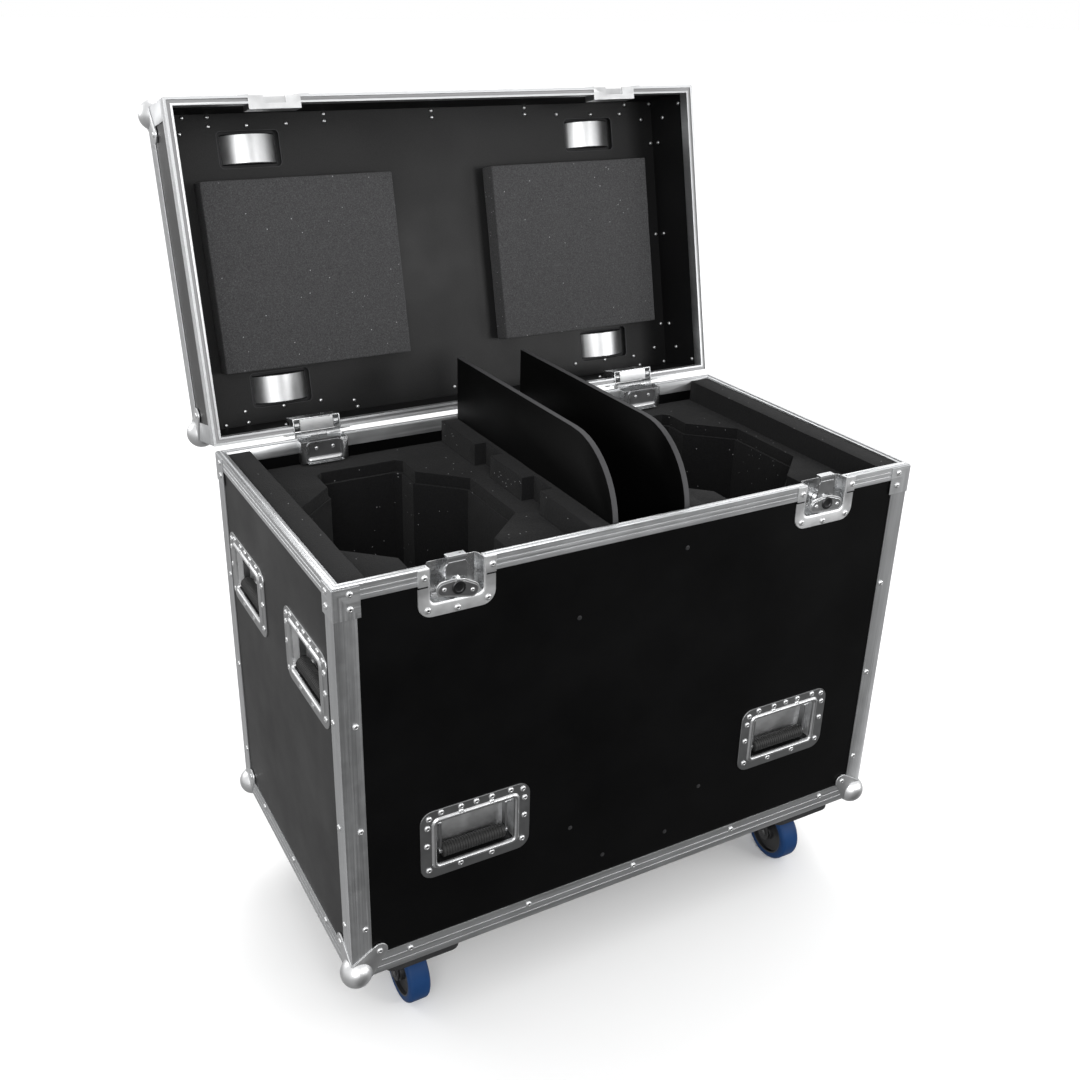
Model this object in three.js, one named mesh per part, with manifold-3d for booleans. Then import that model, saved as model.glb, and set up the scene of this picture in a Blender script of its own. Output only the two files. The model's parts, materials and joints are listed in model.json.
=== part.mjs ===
// Lighting flight case on castors: a plywood box in aluminium extrusions, with a hinged lid that
// stands open on its stops, two foam-lined bays and an open bay between two tall dividers.
// Millimetres, X to the right, Y to the back, Z up. The case is built with the underside of its
// box at z = 0, and the lid is built closed, then turned open about its hinge pins.

import * as THREE from 'three'
import { mergeVertices } from 'three/addons/utils/BufferGeometryUtils.js'
import Module from 'manifold-3d'

const wasm = await Module()
wasm.setup()

// Main sizes
const caseWidth = 950
const caseDepth = 520
const baseHeight = 630
const lidHeight = 131
const lidOpenAngle = THREE.MathUtils.degToRad(102.8)
const closedGap = 1
const lidGap = 0.3
const halfWidth = caseWidth / 2
const halfDepth = caseDepth / 2
const runningGap = 0.3
const clearance = 1

// Boards and extrusions
const boardThickness = 9
const metalThickness = 1.5
const boardInset = metalThickness
const innerInset = boardInset + boardThickness
const innerHalfWidth = halfWidth - innerInset
const innerHalfDepth = halfDepth - innerInset
const rimInnerLegThickness = 2
const rimWidth = innerInset + rimInnerLegThickness
const rimLegHeight = 22
const rimInnerLegHeight = 21
const rimWebThickness = 3.2
const tongueInset = 5
const tongueWidth = 3
const tongueHeight = 2
const ribDepth = 0.7
const ribWidth = 1.6
const ribHeightShares = [0.3, 0.62]
const angleLeg = 31
const bottomLegHeight = 35
const braceLeg = 36
const braceHeight = 44
const braceThickness = 1.2
const braceTopInset = 2

// Ball corners
const ballRadius = 23
const ballInset = 9
const earOffset = 42
const earRadius = 12.5
const earThickness = 1.5
const ballSides = 12
const earSteps = 3

// Dividers
const dividerOffset = 60
const dividerRise = 103
const dividerEndGap = 3
const dividerFrontRadius = 115
const dividerCornerSteps = 6

// Foam inserts, described for the left bay and mirrored for the right one. Drops are measured
// from the rim of the base, and margins of the cut-out from the walls of the bay.
const foamFloorThickness = 50
const foamBlockDrop = 60
const foamTierDrop = 40
const foamWallDrop = 3
const foamSideThickness = 40
const foamStripThickness = 30
const foamRimGap = 2.2
const notchDepth = 20
const notchLength = 55
const notchCentres = [92, -68]
const cutSideMargin = 60
const cutSideEndMargin = 174.5
const cutShoulderMargin = 127
const cutShoulderEndMargin = 111.5
const cutNeckMargin = 51.5
const cutNeckCorner = 10
const tierLedge = 4

// Recessed handles
const handleWidth = 174
const handleHeight = 116
const handleCornerRadius = 20
const handleOpeningWidth = 124
const handleOpeningHeight = 74
const handleOpeningRadius = 5
const handleDepth = 28
const handleLipHeight = 2
const handleLipWidth = 2
const frontHandleInset = 195.5
const frontHandleZ = 197
const sideHandleGap = 7
const sideHandleDrop = 174
const gripRadius = 9
const gripArmX = 52
const gripArmWidth = 5
const gripArmHalfDepth = 4
const gripPivotDepth = 13
const gripPivotZ = 24
const gripBarZ = -22
const gripPinRadius = 3.5

// Butterfly latches
const latchInset = 168
const flangeWidth = 111
const flangeThickness = 1.5
const latchFlangeHeight = 70
const latchCornerRadius = 20
const latchBoxWidth = 78
const latchBoxHeight = 52
const latchBoxDepth = 20.5
const keyDrop = 33
const keyEndX = 20
const keyEndDrop = 3.6
const keyEndRadius = 7
const keyMiddleRise = 0.6
const keyMiddleRadius = 10.2
const keyThickness = 2
const keyStandoff = 1
const keySteps = 6
const bossRadius = 11
const keyRivetX = 19
const keyRivetRadius = 2.6
const keyRivetHeight = 1
const hookWidth = 30
const hookHeadWidth = 26
const hookThickness = 2
const hookFaceDepth = 1.2
const hookForkGap = runningGap
const hookForkDrop = 42
const hookSlotGap = 4
const hookRise = 10
const hookHeadLength = 10
const hookHeadThickness = 3

// Keepers in the rim of the lid, met by the hooks
const keeperBoxWidth = 83
const keeperBoxHeight = 30
const keeperFlangeHeight = 42
const keeperCornerRadius = 10
const keeperLedgeThickness = 2
const keeperSlotGap = 2

// Recessed hinges with a lid stay
const hingeInset = 169
const hingePinSetback = 5
const hingeFlangeHeight = 58
const hingeBoxWidth = 79
const hingeBoxHeight = 37
const hingeBoxDepth = 24
const hingeLipLength = 6
const hingeLipWidth = 60
const hingeLeafHeight = 16
const barrelRadius = 4
const barrelSweepGap = 1.5
const pinRadius = 2
const barrelOuterX = 37
const barrelMiddleX = 14
const stopInnerX = 27
const stopStart = 5
const stopEnd = 8.6
const stopToeDrop = 2
const gussetHeight = 14

// Castors
const castorInset = 115
const castorEndInset = 110
const castorBoardWidth = 120
const castorBoardEndGap = 5
const castorBoardThickness = 15
const castorBoardRadius = 16
const castorHeight = 125
const wheelRadius = 50
const wheelWidth = 36
const wheelSides = 20
const tyreEdgeRadius = 4
const tyreThickness = 11
const hubHalfWidth = 19
const hubRadius = 14
const discHalfWidth = 9
const boreRadius = 6
const axleRadius = boreRadius - runningGap
const castorTrail = 36
const castorPlateWidth = 84
const castorPlateLength = 104
const castorPlateThickness = 3
const castorPlateRadius = 8
const raceRadius = 26
const raceHeight = 3
const crownRadius = 29
const crownThickness = 3
const forkLegThickness = 3
const forkGap = 2
const forkTipRadius = 13
const nutRadius = 8
const nutHeight = 4

// Lid fittings
const cupInset = 153
const cupEndInset = 66
const cupPlateWidth = 128
const cupPlateDepth = 68
const cupPlateRadius = 8
const cupHoleWidth = 104
const cupHoleDepth = 59
const cupHoleRadius = 8
const cupBowlRadius = 54
const cupBowlHalfChord = 45
const cupBowlHalfDepth = 22
const cupSides = 36
const padMiddleGap = 94.5
const padSideInset = 55.5
const padFrontInset = 115.5
const padBackInset = 101.5
const padThickness = 38

// Positions that follow from the sizes
const lidBottom = baseHeight + closedGap
const lidTop = lidBottom + lidHeight
const boardTop = baseHeight - rimWebThickness
const hingePinY = halfDepth + hingePinSetback
const hingePinZ = baseHeight + closedGap / 2
const bayOuterX = -innerHalfWidth
const bayInnerX = -(dividerOffset + boardThickness / 2)
const bayCentreX = (bayOuterX + bayInnerX) / 2
const bayHalfWidth = (bayInnerX - bayOuterX) / 2
const dividerTop = baseHeight + dividerRise
const dividerHalfDepth = innerHalfDepth - dividerEndGap
const foamBlockTop = baseHeight - foamBlockDrop
const foamTierTop = baseHeight - foamTierDrop
const foamWallTop = baseHeight - foamWallDrop
const frontHandleX = halfWidth - frontHandleInset
const sideHandleY = halfDepth - angleLeg - sideHandleGap - handleWidth / 2
const sideHandleZ = baseHeight - sideHandleDrop
const latchX = halfWidth - latchInset
const hingeX = halfWidth - hingeInset
const castorX = halfWidth - castorInset
const castorY = halfDepth - castorEndInset
const cupX = halfWidth - cupInset
const cupY = halfDepth - cupEndInset
const raceBottom = -(castorBoardThickness + castorPlateThickness + raceHeight)
const crownTop = raceBottom - runningGap
const floorDrop = castorBoardThickness + castorHeight
const axleZ = wheelRadius - floorDrop
const roundSides = 16
const cornerSteps = 2
const overshoot = 20

// Turns a three.js geometry into a solid
function solid (geometry) {
  const plain = geometry.index ? geometry.toNonIndexed() : geometry
  plain.deleteAttribute('normal')
  plain.deleteAttribute('uv')
  const merged = mergeVertices(plain, 1e-5)
  return new wasm.Manifold(new wasm.Mesh({
    numProp: 3,
    vertProperties: new Float32Array(merged.attributes.position.array),
    triVerts: new Uint32Array(merged.index.array)
  }))
}

function join (solids) {
  return solids.reduce((all, next) => all.add(next))
}

function cut (body, tools) {
  return tools.reduce((left, tool) => left.subtract(tool), body)
}

function block (x0, x1, y0, y1, z0, z1) {
  const geometry = new THREE.BoxGeometry(x1 - x0, y1 - y0, z1 - z0)
  geometry.translate((x0 + x1) / 2, (y0 + y1) / 2, (z0 + z1) / 2)
  return solid(geometry)
}

// A block that is centred on x = 0
function wideBlock (width, y0, y1, z0, z1) {
  return block(-width / 2, width / 2, y0, y1, z0, z1)
}

// Extrudes a shape along Z from z0 to z1
function prism (shape, z0, z1, curveSegments = cornerSteps) {
  const geometry = new THREE.ExtrudeGeometry(shape, { depth: z1 - z0, bevelEnabled: false, curveSegments })
  geometry.translate(0, 0, z0)
  return solid(geometry)
}

// Extrudes a shape drawn in X and Z along Y, from y0 to y1
function frontPrism (shape, y0, y1, curveSegments = cornerSteps) {
  const geometry = new THREE.ExtrudeGeometry(shape, { depth: y1 - y0, bevelEnabled: false, curveSegments })
  geometry.rotateX(Math.PI / 2)
  geometry.translate(0, y1, 0)
  return solid(geometry)
}

// Extrudes a shape drawn in Y and Z along X, from x0 to x1
function sidePrism (shape, x0, x1, curveSegments = cornerSteps) {
  const geometry = new THREE.ExtrudeGeometry(shape, { depth: x1 - x0, bevelEnabled: false, curveSegments })
  geometry.rotateX(Math.PI / 2)
  geometry.rotateZ(Math.PI / 2)
  geometry.translate(x0, 0, 0)
  return solid(geometry)
}

function polygon (points) {
  return new THREE.Shape(points.map(([x, y]) => new THREE.Vector2(x, y)))
}

// A rectangle with a radius of its own at the lower and at the upper corners
function roundedRect (x0, x1, y0, y1, lowerRadius, upperRadius = lowerRadius) {
  const shape = new THREE.Shape()
  shape.moveTo(x0 + lowerRadius, y0)
  shape.lineTo(x1 - lowerRadius, y0)
  if (lowerRadius) shape.absarc(x1 - lowerRadius, y0 + lowerRadius, lowerRadius, -Math.PI / 2, 0)
  shape.lineTo(x1, y1 - upperRadius)
  if (upperRadius) shape.absarc(x1 - upperRadius, y1 - upperRadius, upperRadius, 0, Math.PI / 2)
  shape.lineTo(x0 + upperRadius, y1)
  if (upperRadius) shape.absarc(x0 + upperRadius, y1 - upperRadius, upperRadius, Math.PI / 2, Math.PI)
  shape.lineTo(x0, y0 + lowerRadius)
  if (lowerRadius) shape.absarc(x0 + lowerRadius, y0 + lowerRadius, lowerRadius, Math.PI, Math.PI * 3 / 2)
  return shape
}

function rod (radius, length, sides = roundSides) {
  return new THREE.CylinderGeometry(radius, radius, length, sides)
}

// Rods along each axis, between two places on it
function rodX (radius, x0, x1, y, z, sides) {
  return solid(rod(radius, x1 - x0, sides).rotateZ(Math.PI / 2).translate((x0 + x1) / 2, y, z))
}

function rodY (radius, y0, y1, x, z, sides) {
  return solid(rod(radius, y1 - y0, sides).translate(x, (y0 + y1) / 2, z))
}

function rodZ (radius, z0, z1, sides) {
  return solid(rod(radius, z1 - z0, sides).rotateX(Math.PI / 2).translate(0, 0, (z0 + z1) / 2))
}

// Sweeps a profile round the rectangle of the case with mitred corners. The profile gives the
// distance inward from the outer face and the height. A four-sided revolve makes a square ring,
// and moving its two halves apart makes it as wide as the case.
function mitredFrame (profile) {
  const points = [...profile, profile[0]].map(([inward, height]) =>
    new THREE.Vector2((halfDepth - inward) * Math.SQRT2, height))
  const geometry = new THREE.LatheGeometry(points, 4, Math.PI / 4)
  geometry.rotateX(Math.PI / 2)
  const position = geometry.attributes.position
  for (let i = 0; i < position.count; i++) {
    position.setX(i, position.getX(i) + Math.sign(position.getX(i)) * (halfWidth - halfDepth))
  }
  return outward(geometry)
}

// Solid of a revolved geometry, turned inside out where its profile runs the other way
function outward (geometry) {
  const body = solid(geometry.clone())
  return body.volume() < 0 ? solid(flipped(geometry)) : body
}

function flipped (geometry) {
  const plain = geometry.toNonIndexed()
  const position = plain.attributes.position
  const a = new THREE.Vector3()
  const b = new THREE.Vector3()
  for (let i = 0; i < position.count; i += 3) {
    a.fromBufferAttribute(position, i + 1)
    b.fromBufferAttribute(position, i + 2)
    position.setXYZ(i + 1, b.x, b.y, b.z)
    position.setXYZ(i + 2, a.x, a.y, a.z)
  }
  return plain
}

function mirrorX (body) {
  return body.mirror([1, 0, 0])
}

function mirrorY (body) {
  return body.mirror([0, 1, 0])
}

// The two pieces of a pair, left one first
function bothSides (body, x) {
  return [body.translate(-x, 0, 0), body.translate(x, 0, 0)]
}

// One piece made for the front left corner, repeated at the four corners
function atFourCorners (body) {
  const left = [body, mirrorY(body)]
  return join([...left, ...left.map(mirrorX)])
}

// Places a fitting drawn for the front face, with y = 0 on the face and z = 0 on the rim
function onFrontRim (body) {
  return body.translate(0, -halfDepth, baseHeight)
}

function onBackRim (body) {
  return body.rotate([0, 0, 180]).translate(0, halfDepth, baseHeight)
}

// Outer face of an extrusion's leg with shallow ribs, from one height to another
function ribbedEdge (from, to) {
  const step = Math.sign(to - from) * ribWidth
  const edge = [[0, from]]
  for (const share of ribHeightShares) {
    const at = from + (to - from) * share
    edge.push([0, at], [ribDepth, at], [ribDepth, at + step], [0, at + step])
  }
  edge.push([0, to])
  return edge
}

// Rim extrusions: a channel that holds the edges of the boards
function rimProfile (top, up) {
  return [
    ...ribbedEdge(top, top + up * rimLegHeight),
    [boardInset, top + up * rimLegHeight],
    [boardInset, top + up * rimWebThickness],
    [innerInset, top + up * rimWebThickness],
    [innerInset, top + up * rimInnerLegHeight],
    [rimWidth, top + up * rimInnerLegHeight],
    [rimWidth, top]
  ]
}

// The rim is in four lengths, between the latches and hinges that are let into it
function rimLength (ring, x0, x1, y0, y1) {
  return ring.intersect(block(x0, x1, y0, y1, 0, lidTop))
}

function baseRimMeshes () {
  const ring = baseRim()
  const side = rimLength(ring, -halfWidth, -latchX, -halfDepth, halfDepth)
  return [
    ...mirroredPair('base_rim', side, 'aluminium'),
    mesh('base_rim_front', rimLength(ring, -latchX, latchX, -halfDepth, 0), 'aluminium'),
    mesh('base_rim_back', rimLength(ring, -latchX, latchX, 0, halfDepth), 'aluminium')
  ]
}

function lidRimMeshes () {
  const ring = lidRim()
  const back = block(-latchX, latchX, 0, halfDepth, 0, lidTop)
  const front = join([ring.subtract(back), ...bothSides(keeper(), latchX)])
  return [mesh('lid_rim', front, 'aluminium'), mesh('lid_rim_back', ring.intersect(back), 'aluminium')]
}

function baseRim () {
  const tongue = [
    [tongueInset + tongueWidth, baseHeight],
    [tongueInset + tongueWidth, baseHeight + tongueHeight],
    [tongueInset, baseHeight + tongueHeight],
    [tongueInset, baseHeight]
  ]
  const ring = mitredFrame([...rimProfile(baseHeight, -1), ...tongue])
  return cut(ring, [...latchHoles(), ...hingeHoles(), ...tongueGaps()])
}

// The tongue stops short of the keepers, whose ledges come down beside it
function tongueGaps () {
  const gap = wideBlock(keeperBoxWidth + clearance * 2, 0, rimWidth, 0, overshoot)
  return bothSides(onFrontRim(gap), latchX)
}

function lidRim () {
  const inner = tongueInset + tongueWidth + clearance
  const outer = tongueInset - clearance
  const top = lidBottom + tongueHeight + runningGap
  const groove = [[inner, lidBottom], [inner, top], [outer, top], [outer, lidBottom]]
  const ring = mitredFrame([...rimProfile(lidBottom, 1), ...groove])
  return cut(ring, [...keeperHoles(-metalThickness), ...lidHingeHoles()])
}

// Corner angle at the front left corner, with both legs on the outer faces
function cornerAngle (z0, z1) {
  const front = block(-halfWidth, -halfWidth + angleLeg, -halfDepth, -halfDepth + metalThickness, z0, z1)
  const side = block(-halfWidth, -halfWidth + metalThickness, -halfDepth, -halfDepth + angleLeg, z0, z1)
  return front.add(side)
}

// L-shaped brace that wraps the upper corner outside the angle and the rim
function cornerBrace () {
  const z1 = baseHeight - braceTopInset
  const z0 = z1 - braceHeight
  const x0 = -halfWidth - braceThickness
  const y0 = -halfDepth - braceThickness
  const front = block(x0, -halfWidth + braceLeg, y0, -halfDepth, z0, z1)
  const side = block(x0, -halfWidth, y0, -halfDepth + braceLeg, z0, z1)
  return front.add(side)
}

function baseEdges () {
  const ring = mitredFrame([
    ...ribbedEdge(0, bottomLegHeight),
    [metalThickness, bottomLegHeight],
    [metalThickness, metalThickness],
    [angleLeg, metalThickness],
    [angleLeg, 0]
  ])
  const angle = cornerAngle(bottomLegHeight - clearance, baseHeight - rimLegHeight)
  return join([ring, atFourCorners(angle.add(cornerBrace())), atFourCorners(ballCorner())])
}

function lidEdges () {
  const ring = mitredFrame([
    [0, lidTop],
    [0, lidTop - angleLeg],
    [metalThickness, lidTop - angleLeg],
    [metalThickness, lidTop - metalThickness],
    [angleLeg, lidTop - metalThickness],
    [angleLeg, lidTop]
  ])
  const angle = cornerAngle(lidBottom + rimLegHeight + lidGap, lidTop - angleLeg + clearance)
  const ball = ballCorner().mirror([0, 0, 1]).translate(0, 0, lidTop)
  return join([ring, atFourCorners(angle), atFourCorners(ball)])
}

// Ear of a ball corner, drawn from the corner of the case outwards along both edges
function earShape () {
  const shape = new THREE.Shape()
  const foot = earOffset - earRadius
  shape.moveTo(0, 0)
  shape.lineTo(foot, 0)
  shape.absarc(earOffset, earOffset, earRadius, -Math.PI / 4, Math.PI * 3 / 4)
  shape.lineTo(0, foot)
  return shape
}

// Pressed cap over the lower front left corner: a ball with one ear on each face. It reaches a
// little into the metal of the edges, to which it is riveted.
function ballCorner () {
  const bite = metalThickness / 2
  const ball = new THREE.SphereGeometry(ballRadius, ballSides, ballSides / 2)
  ball.translate(ballInset, ballInset, ballInset)
  const ways = [prism, frontPrism, sidePrism]
  const ears = ways.map(extrude => extrude(earShape(), -earThickness, bite, earSteps))
  const inside = block(bite, halfWidth, bite, halfDepth, bite, baseHeight)
  return join([solid(ball), ...ears]).subtract(inside).translate(-halfWidth, -halfDepth, 0)
}

function floorBoard () {
  return wideBlock(innerHalfWidth * 2, -innerHalfDepth, innerHalfDepth, boardInset, innerInset)
}

function longBoard () {
  const width = (halfWidth - boardInset) * 2
  return wideBlock(width, -halfDepth + boardInset, -innerHalfDepth, boardInset, boardTop)
}

function frontBoard () {
  return cut(longBoard(), [...latchHoles(), ...frontHandles().map(handleHole)])
}

function backBoard () {
  return cut(mirrorY(longBoard()), hingeHoles())
}

function sideBoard () {
  const outerX = boardInset - halfWidth
  const board = block(outerX, bayOuterX, -innerHalfDepth, innerHalfDepth, boardInset, boardTop)
  return cut(board, leftHandles().map(handleHole))
}

function divider () {
  const shape = new THREE.Shape()
  const arcY = -dividerHalfDepth + dividerFrontRadius
  shape.moveTo(-dividerHalfDepth, innerInset)
  shape.lineTo(dividerHalfDepth, innerInset)
  shape.lineTo(dividerHalfDepth, dividerTop)
  shape.absarc(arcY, dividerTop - dividerFrontRadius, dividerFrontRadius, Math.PI / 2, Math.PI)
  return sidePrism(shape, -boardThickness / 2, boardThickness / 2, dividerCornerSteps)
}

// Cut-out for a fixture: an octagon with a narrower neck at the front and the back
function fixtureCut (inset) {
  const wide = bayHalfWidth - cutSideMargin - inset
  const neck = bayHalfWidth - cutShoulderMargin - inset
  const end = innerHalfDepth - cutNeckMargin - inset
  const quarter = [
    [wide, innerHalfDepth - cutSideEndMargin],
    [neck, innerHalfDepth - cutShoulderEndMargin],
    [neck, end - cutNeckCorner],
    [neck - cutNeckCorner, end]
  ]
  const back = [...quarter, ...quarter.map(([x, y]) => [-x, y]).reverse()]
  return polygon([...back, ...back.map(([x, y]) => [-x, -y])])
}

function foamPockets () {
  const handles = [...frontHandles(), ...leftHandles()]
  return [...handles.map(handlePocket), ...latchHoles()]
}

function foamBlock () {
  const body = block(bayOuterX, bayInnerX, -innerHalfDepth, innerHalfDepth, innerInset, foamBlockTop)
  const cavity = prism(fixtureCut(tierLedge), innerInset + foamFloorThickness, foamBlockTop + overshoot)
  return cut(body, [cavity.translate(bayCentreX, 0, 0), ...foamPockets()])
}

// Top layer of the foam, with the slab on the outer board and the notched strip on the divider
function foamTier () {
  const wallDepth = innerHalfDepth - foamRimGap
  const layer = block(bayOuterX, bayInnerX, -innerHalfDepth, innerHalfDepth, foamBlockTop, foamTierTop)
  const opening = prism(fixtureCut(0), foamBlockTop - overshoot, foamTierTop + overshoot)
  const sideX = bayOuterX + foamSideThickness
  const side = block(bayOuterX + foamRimGap, sideX, -wallDepth, wallDepth, foamBlockTop, foamWallTop)
  const stripX = bayInnerX - foamStripThickness
  const strip = block(stripX, bayInnerX, -wallDepth, wallDepth, foamBlockTop, foamWallTop)
  const notches = notchCentres.map(y => block(
    stripX - overshoot, stripX + notchDepth, y - notchLength / 2, y + notchLength / 2,
    foamTierTop, foamWallTop + overshoot
  ))
  const floor = layer.subtract(opening.translate(bayCentreX, 0, 0))
  return cut(join([floor, side, cut(strip, notches)]), foamPockets())
}

// Handles are drawn for the front face, with y = 0 on the outer face of the extrusions
function frontHandles () {
  return [-frontHandleX, frontHandleX].map(x => body => body.translate(x, -halfDepth, frontHandleZ))
}

function sideHandles (side) {
  return [-sideHandleY, sideHandleY].map(y => body =>
    body.rotate([0, 0, side * 90]).translate(side * halfWidth, y, sideHandleZ))
}

function leftHandles () {
  return sideHandles(-1)
}

function handleBox (grow) {
  const half = handleOpeningWidth / 2 + metalThickness + grow
  const rise = handleOpeningHeight / 2 + metalThickness + grow
  const shape = roundedRect(-half, half, -rise, rise, handleOpeningRadius)
  return frontPrism(shape, 0, boardInset + handleDepth + metalThickness + grow)
}

function handleHole (place) {
  return place(handleBox(0))
}

function handlePocket (place) {
  return place(handleBox(clearance))
}

function handleDish () {
  const half = handleOpeningWidth / 2
  const rise = handleOpeningHeight / 2
  const opening = roundedRect(-half, half, -rise, rise, handleOpeningRadius)
  const lipX = half + handleLipWidth
  const lipZ = rise + handleLipWidth
  const lipShape = roundedRect(-lipX, lipX, -lipZ, lipZ, handleOpeningRadius)
  const lip = frontPrism(lipShape, -handleLipHeight, boardInset)
  const plateShape = roundedRect(
    -handleWidth / 2, handleWidth / 2, -handleHeight / 2, handleHeight / 2, handleCornerRadius
  )
  const plate = frontPrism(plateShape, 0, boardInset)
  const inside = frontPrism(opening, -overshoot, boardInset + handleDepth)
  return join([plate, lip, handleBox(0)]).subtract(inside)
}

// Drop grip: two arms on short pins, and a round rubber bar between them
function handleGrip () {
  const armShape = roundedRect(
    gripPivotDepth - gripArmHalfDepth, gripPivotDepth + gripArmHalfDepth,
    gripBarZ - gripArmHalfDepth, gripPivotZ + gripArmHalfDepth, gripArmHalfDepth
  )
  const arm = sidePrism(armShape, -gripArmX - gripArmWidth / 2, -gripArmX + gripArmWidth / 2)
  const pin = rodX(gripPinRadius, runningGap - handleOpeningWidth / 2, -gripArmX, gripPivotDepth, gripPivotZ)
  const side = arm.add(pin)
  const bar = rodX(gripRadius, -gripArmX, gripArmX, gripPivotDepth, gripBarZ)
  return join([side, mirrorX(side), bar])
}

// Fittings let into a rim are drawn for the front face, below a rim at z = 0
function rimHole (width, height, depth) {
  return wideBlock(width, -overshoot, depth, -height, overshoot)
}

// Pressed dish: a flange over the rim that steps back onto the board, and a box behind it
function rimDish (flangeHeight, cornerRadius, width, height, depth) {
  const half = flangeWidth / 2
  const flange = frontPrism(roundedRect(-half, half, -flangeHeight, 0, cornerRadius, 0), -flangeThickness, 0)
  const padShape = roundedRect(-half, half, -flangeHeight, -rimLegHeight, cornerRadius, 0)
  const pad = frontPrism(padShape, -flangeThickness, boardInset)
  const box = wideBlock(width, -flangeThickness, depth, -height, 0)
  const inside = wideBlock(
    width - metalThickness * 2, -overshoot, depth - metalThickness, metalThickness - height, overshoot
  )
  return join([flange, pad, box]).subtract(inside)
}

function latchHoles () {
  return bothSides(onFrontRim(rimHole(latchBoxWidth, latchBoxHeight, latchBoxDepth)), latchX)
}

function keeperHoles (grow) {
  const hole = rimHole(keeperBoxWidth + grow * 2, keeperBoxHeight + grow, latchBoxDepth)
  return bothSides(onLidFront(hole), latchX)
}

function hingeHoles () {
  return bothSides(onBackRim(rimHole(hingeBoxWidth, hingeBoxHeight, hingeBoxDepth)), hingeX)
}

function lidHingeHoles () {
  const hole = rimHole(hingeBoxWidth + lidGap * 2, hingeBoxHeight + lidGap, hingeBoxDepth)
  return bothSides(onLidBack(hole), hingeX)
}

// The same drawing turned upside down, above the joint, for the closed lid
function onLidFront (body) {
  return body.mirror([0, 0, 1]).translate(0, -halfDepth, lidBottom)
}

function onLidBack (body) {
  return body.mirror([0, 0, 1]).rotate([0, 0, 180]).translate(0, halfDepth, lidBottom)
}

function latchDish () {
  const dish = rimDish(latchFlangeHeight, latchCornerRadius, latchBoxWidth, latchBoxHeight, latchBoxDepth)
  return onFrontRim(dish)
}

// Outline of the butterfly key: a flat foot, round ends, and shoulders that rise to its middle
function keyShape () {
  const endZ = -keyDrop - keyEndDrop
  const middleZ = -keyDrop + keyMiddleRise
  const slope = Math.atan2(endZ - middleZ, keyEndX)
  const distance = Math.hypot(endZ - middleZ, keyEndX)
  const shoulder = slope + Math.acos((keyMiddleRadius - keyEndRadius) / distance)
  const shape = new THREE.Shape()
  shape.moveTo(-keyEndX, endZ - keyEndRadius)
  shape.absarc(keyEndX, endZ, keyEndRadius, -Math.PI / 2, shoulder)
  shape.absarc(0, middleZ, keyMiddleRadius, shoulder, Math.PI - shoulder)
  shape.absarc(-keyEndX, endZ, keyEndRadius, Math.PI - shoulder, Math.PI * 3 / 2)
  return shape
}

// Butterfly key: a plate on a round boss that reaches nearly to the back of the dish
function latchKey () {
  const front = -flangeThickness - keyStandoff
  const back = latchBoxDepth - metalThickness - runningGap
  const head = front - keyThickness
  const plate = frontPrism(keyShape(), head, front, keySteps)
  const boss = rodY(bossRadius, head, back, 0, -keyDrop)
  const rivets = [-keyRivetX, keyRivetX].map(x =>
    rodY(keyRivetRadius, head - keyRivetHeight, front, x, -keyDrop - keyEndDrop, roundSides / 2))
  return onFrontRim(join([plate, boss, ...rivets]))
}

// Hook: a plate whose fork straddles the boss, with a head bent back over the rim
function latchHook () {
  const back = hookFaceDepth + hookThickness
  const plate = wideBlock(hookWidth, hookFaceDepth, back, -hookForkDrop, 0)
  const neck = wideBlock(hookHeadWidth, hookFaceDepth, back, 0, hookRise)
  const head = wideBlock(
    hookHeadWidth, hookFaceDepth, hookFaceDepth + hookHeadLength, hookRise - hookHeadThickness, hookRise
  )
  const slotTop = -keyDrop + bossRadius + hookSlotGap
  const slotWidth = (bossRadius + hookForkGap) * 2
  const slot = wideBlock(slotWidth, -overshoot, overshoot, -hookForkDrop - overshoot, slotTop)
  return onFrontRim(join([plate, neck, head]).subtract(slot))
}

// Keeper: a shallow dish whose lower wall is a ledge, slotted at the front for the hook
function keeper () {
  const dish = rimDish(keeperFlangeHeight, keeperCornerRadius, keeperBoxWidth, keeperBoxHeight, latchBoxDepth)
  const ledge = wideBlock(keeperBoxWidth, 0, latchBoxDepth, -keeperLedgeThickness, 0)
  const slotDepth = hookFaceDepth + hookHeadLength + clearance
  const slotWidth = hookWidth + keeperSlotGap * 2
  const slot = wideBlock(slotWidth, -overshoot, slotDepth, -keeperLedgeThickness, overshoot)
  return onLidFront(dish.add(ledge).subtract(slot))
}

// Hinge pin in the drawing of a fitting, whose rim is at z = 0
function hingeRod (radius, x0, x1) {
  return rodX(radius, x0, x1, -hingePinSetback, closedGap / 2)
}

// The leaf that carries the barrels is a strap over the upper part of the recess
function hingeDish () {
  const dish = rimDish(hingeFlangeHeight, latchCornerRadius, hingeBoxWidth, hingeBoxHeight, hingeBoxDepth)
  return dish.add(wideBlock(hingeBoxWidth, -flangeThickness, 0, -hingeLeafHeight, 0))
}

function gusset (x0, x1) {
  const shape = polygon([
    [-flangeThickness, -gussetHeight],
    [-flangeThickness, closedGap / 2],
    [-hingePinSetback - barrelRadius, closedGap / 2]
  ])
  return sidePrism(shape, x0, x1)
}

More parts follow.
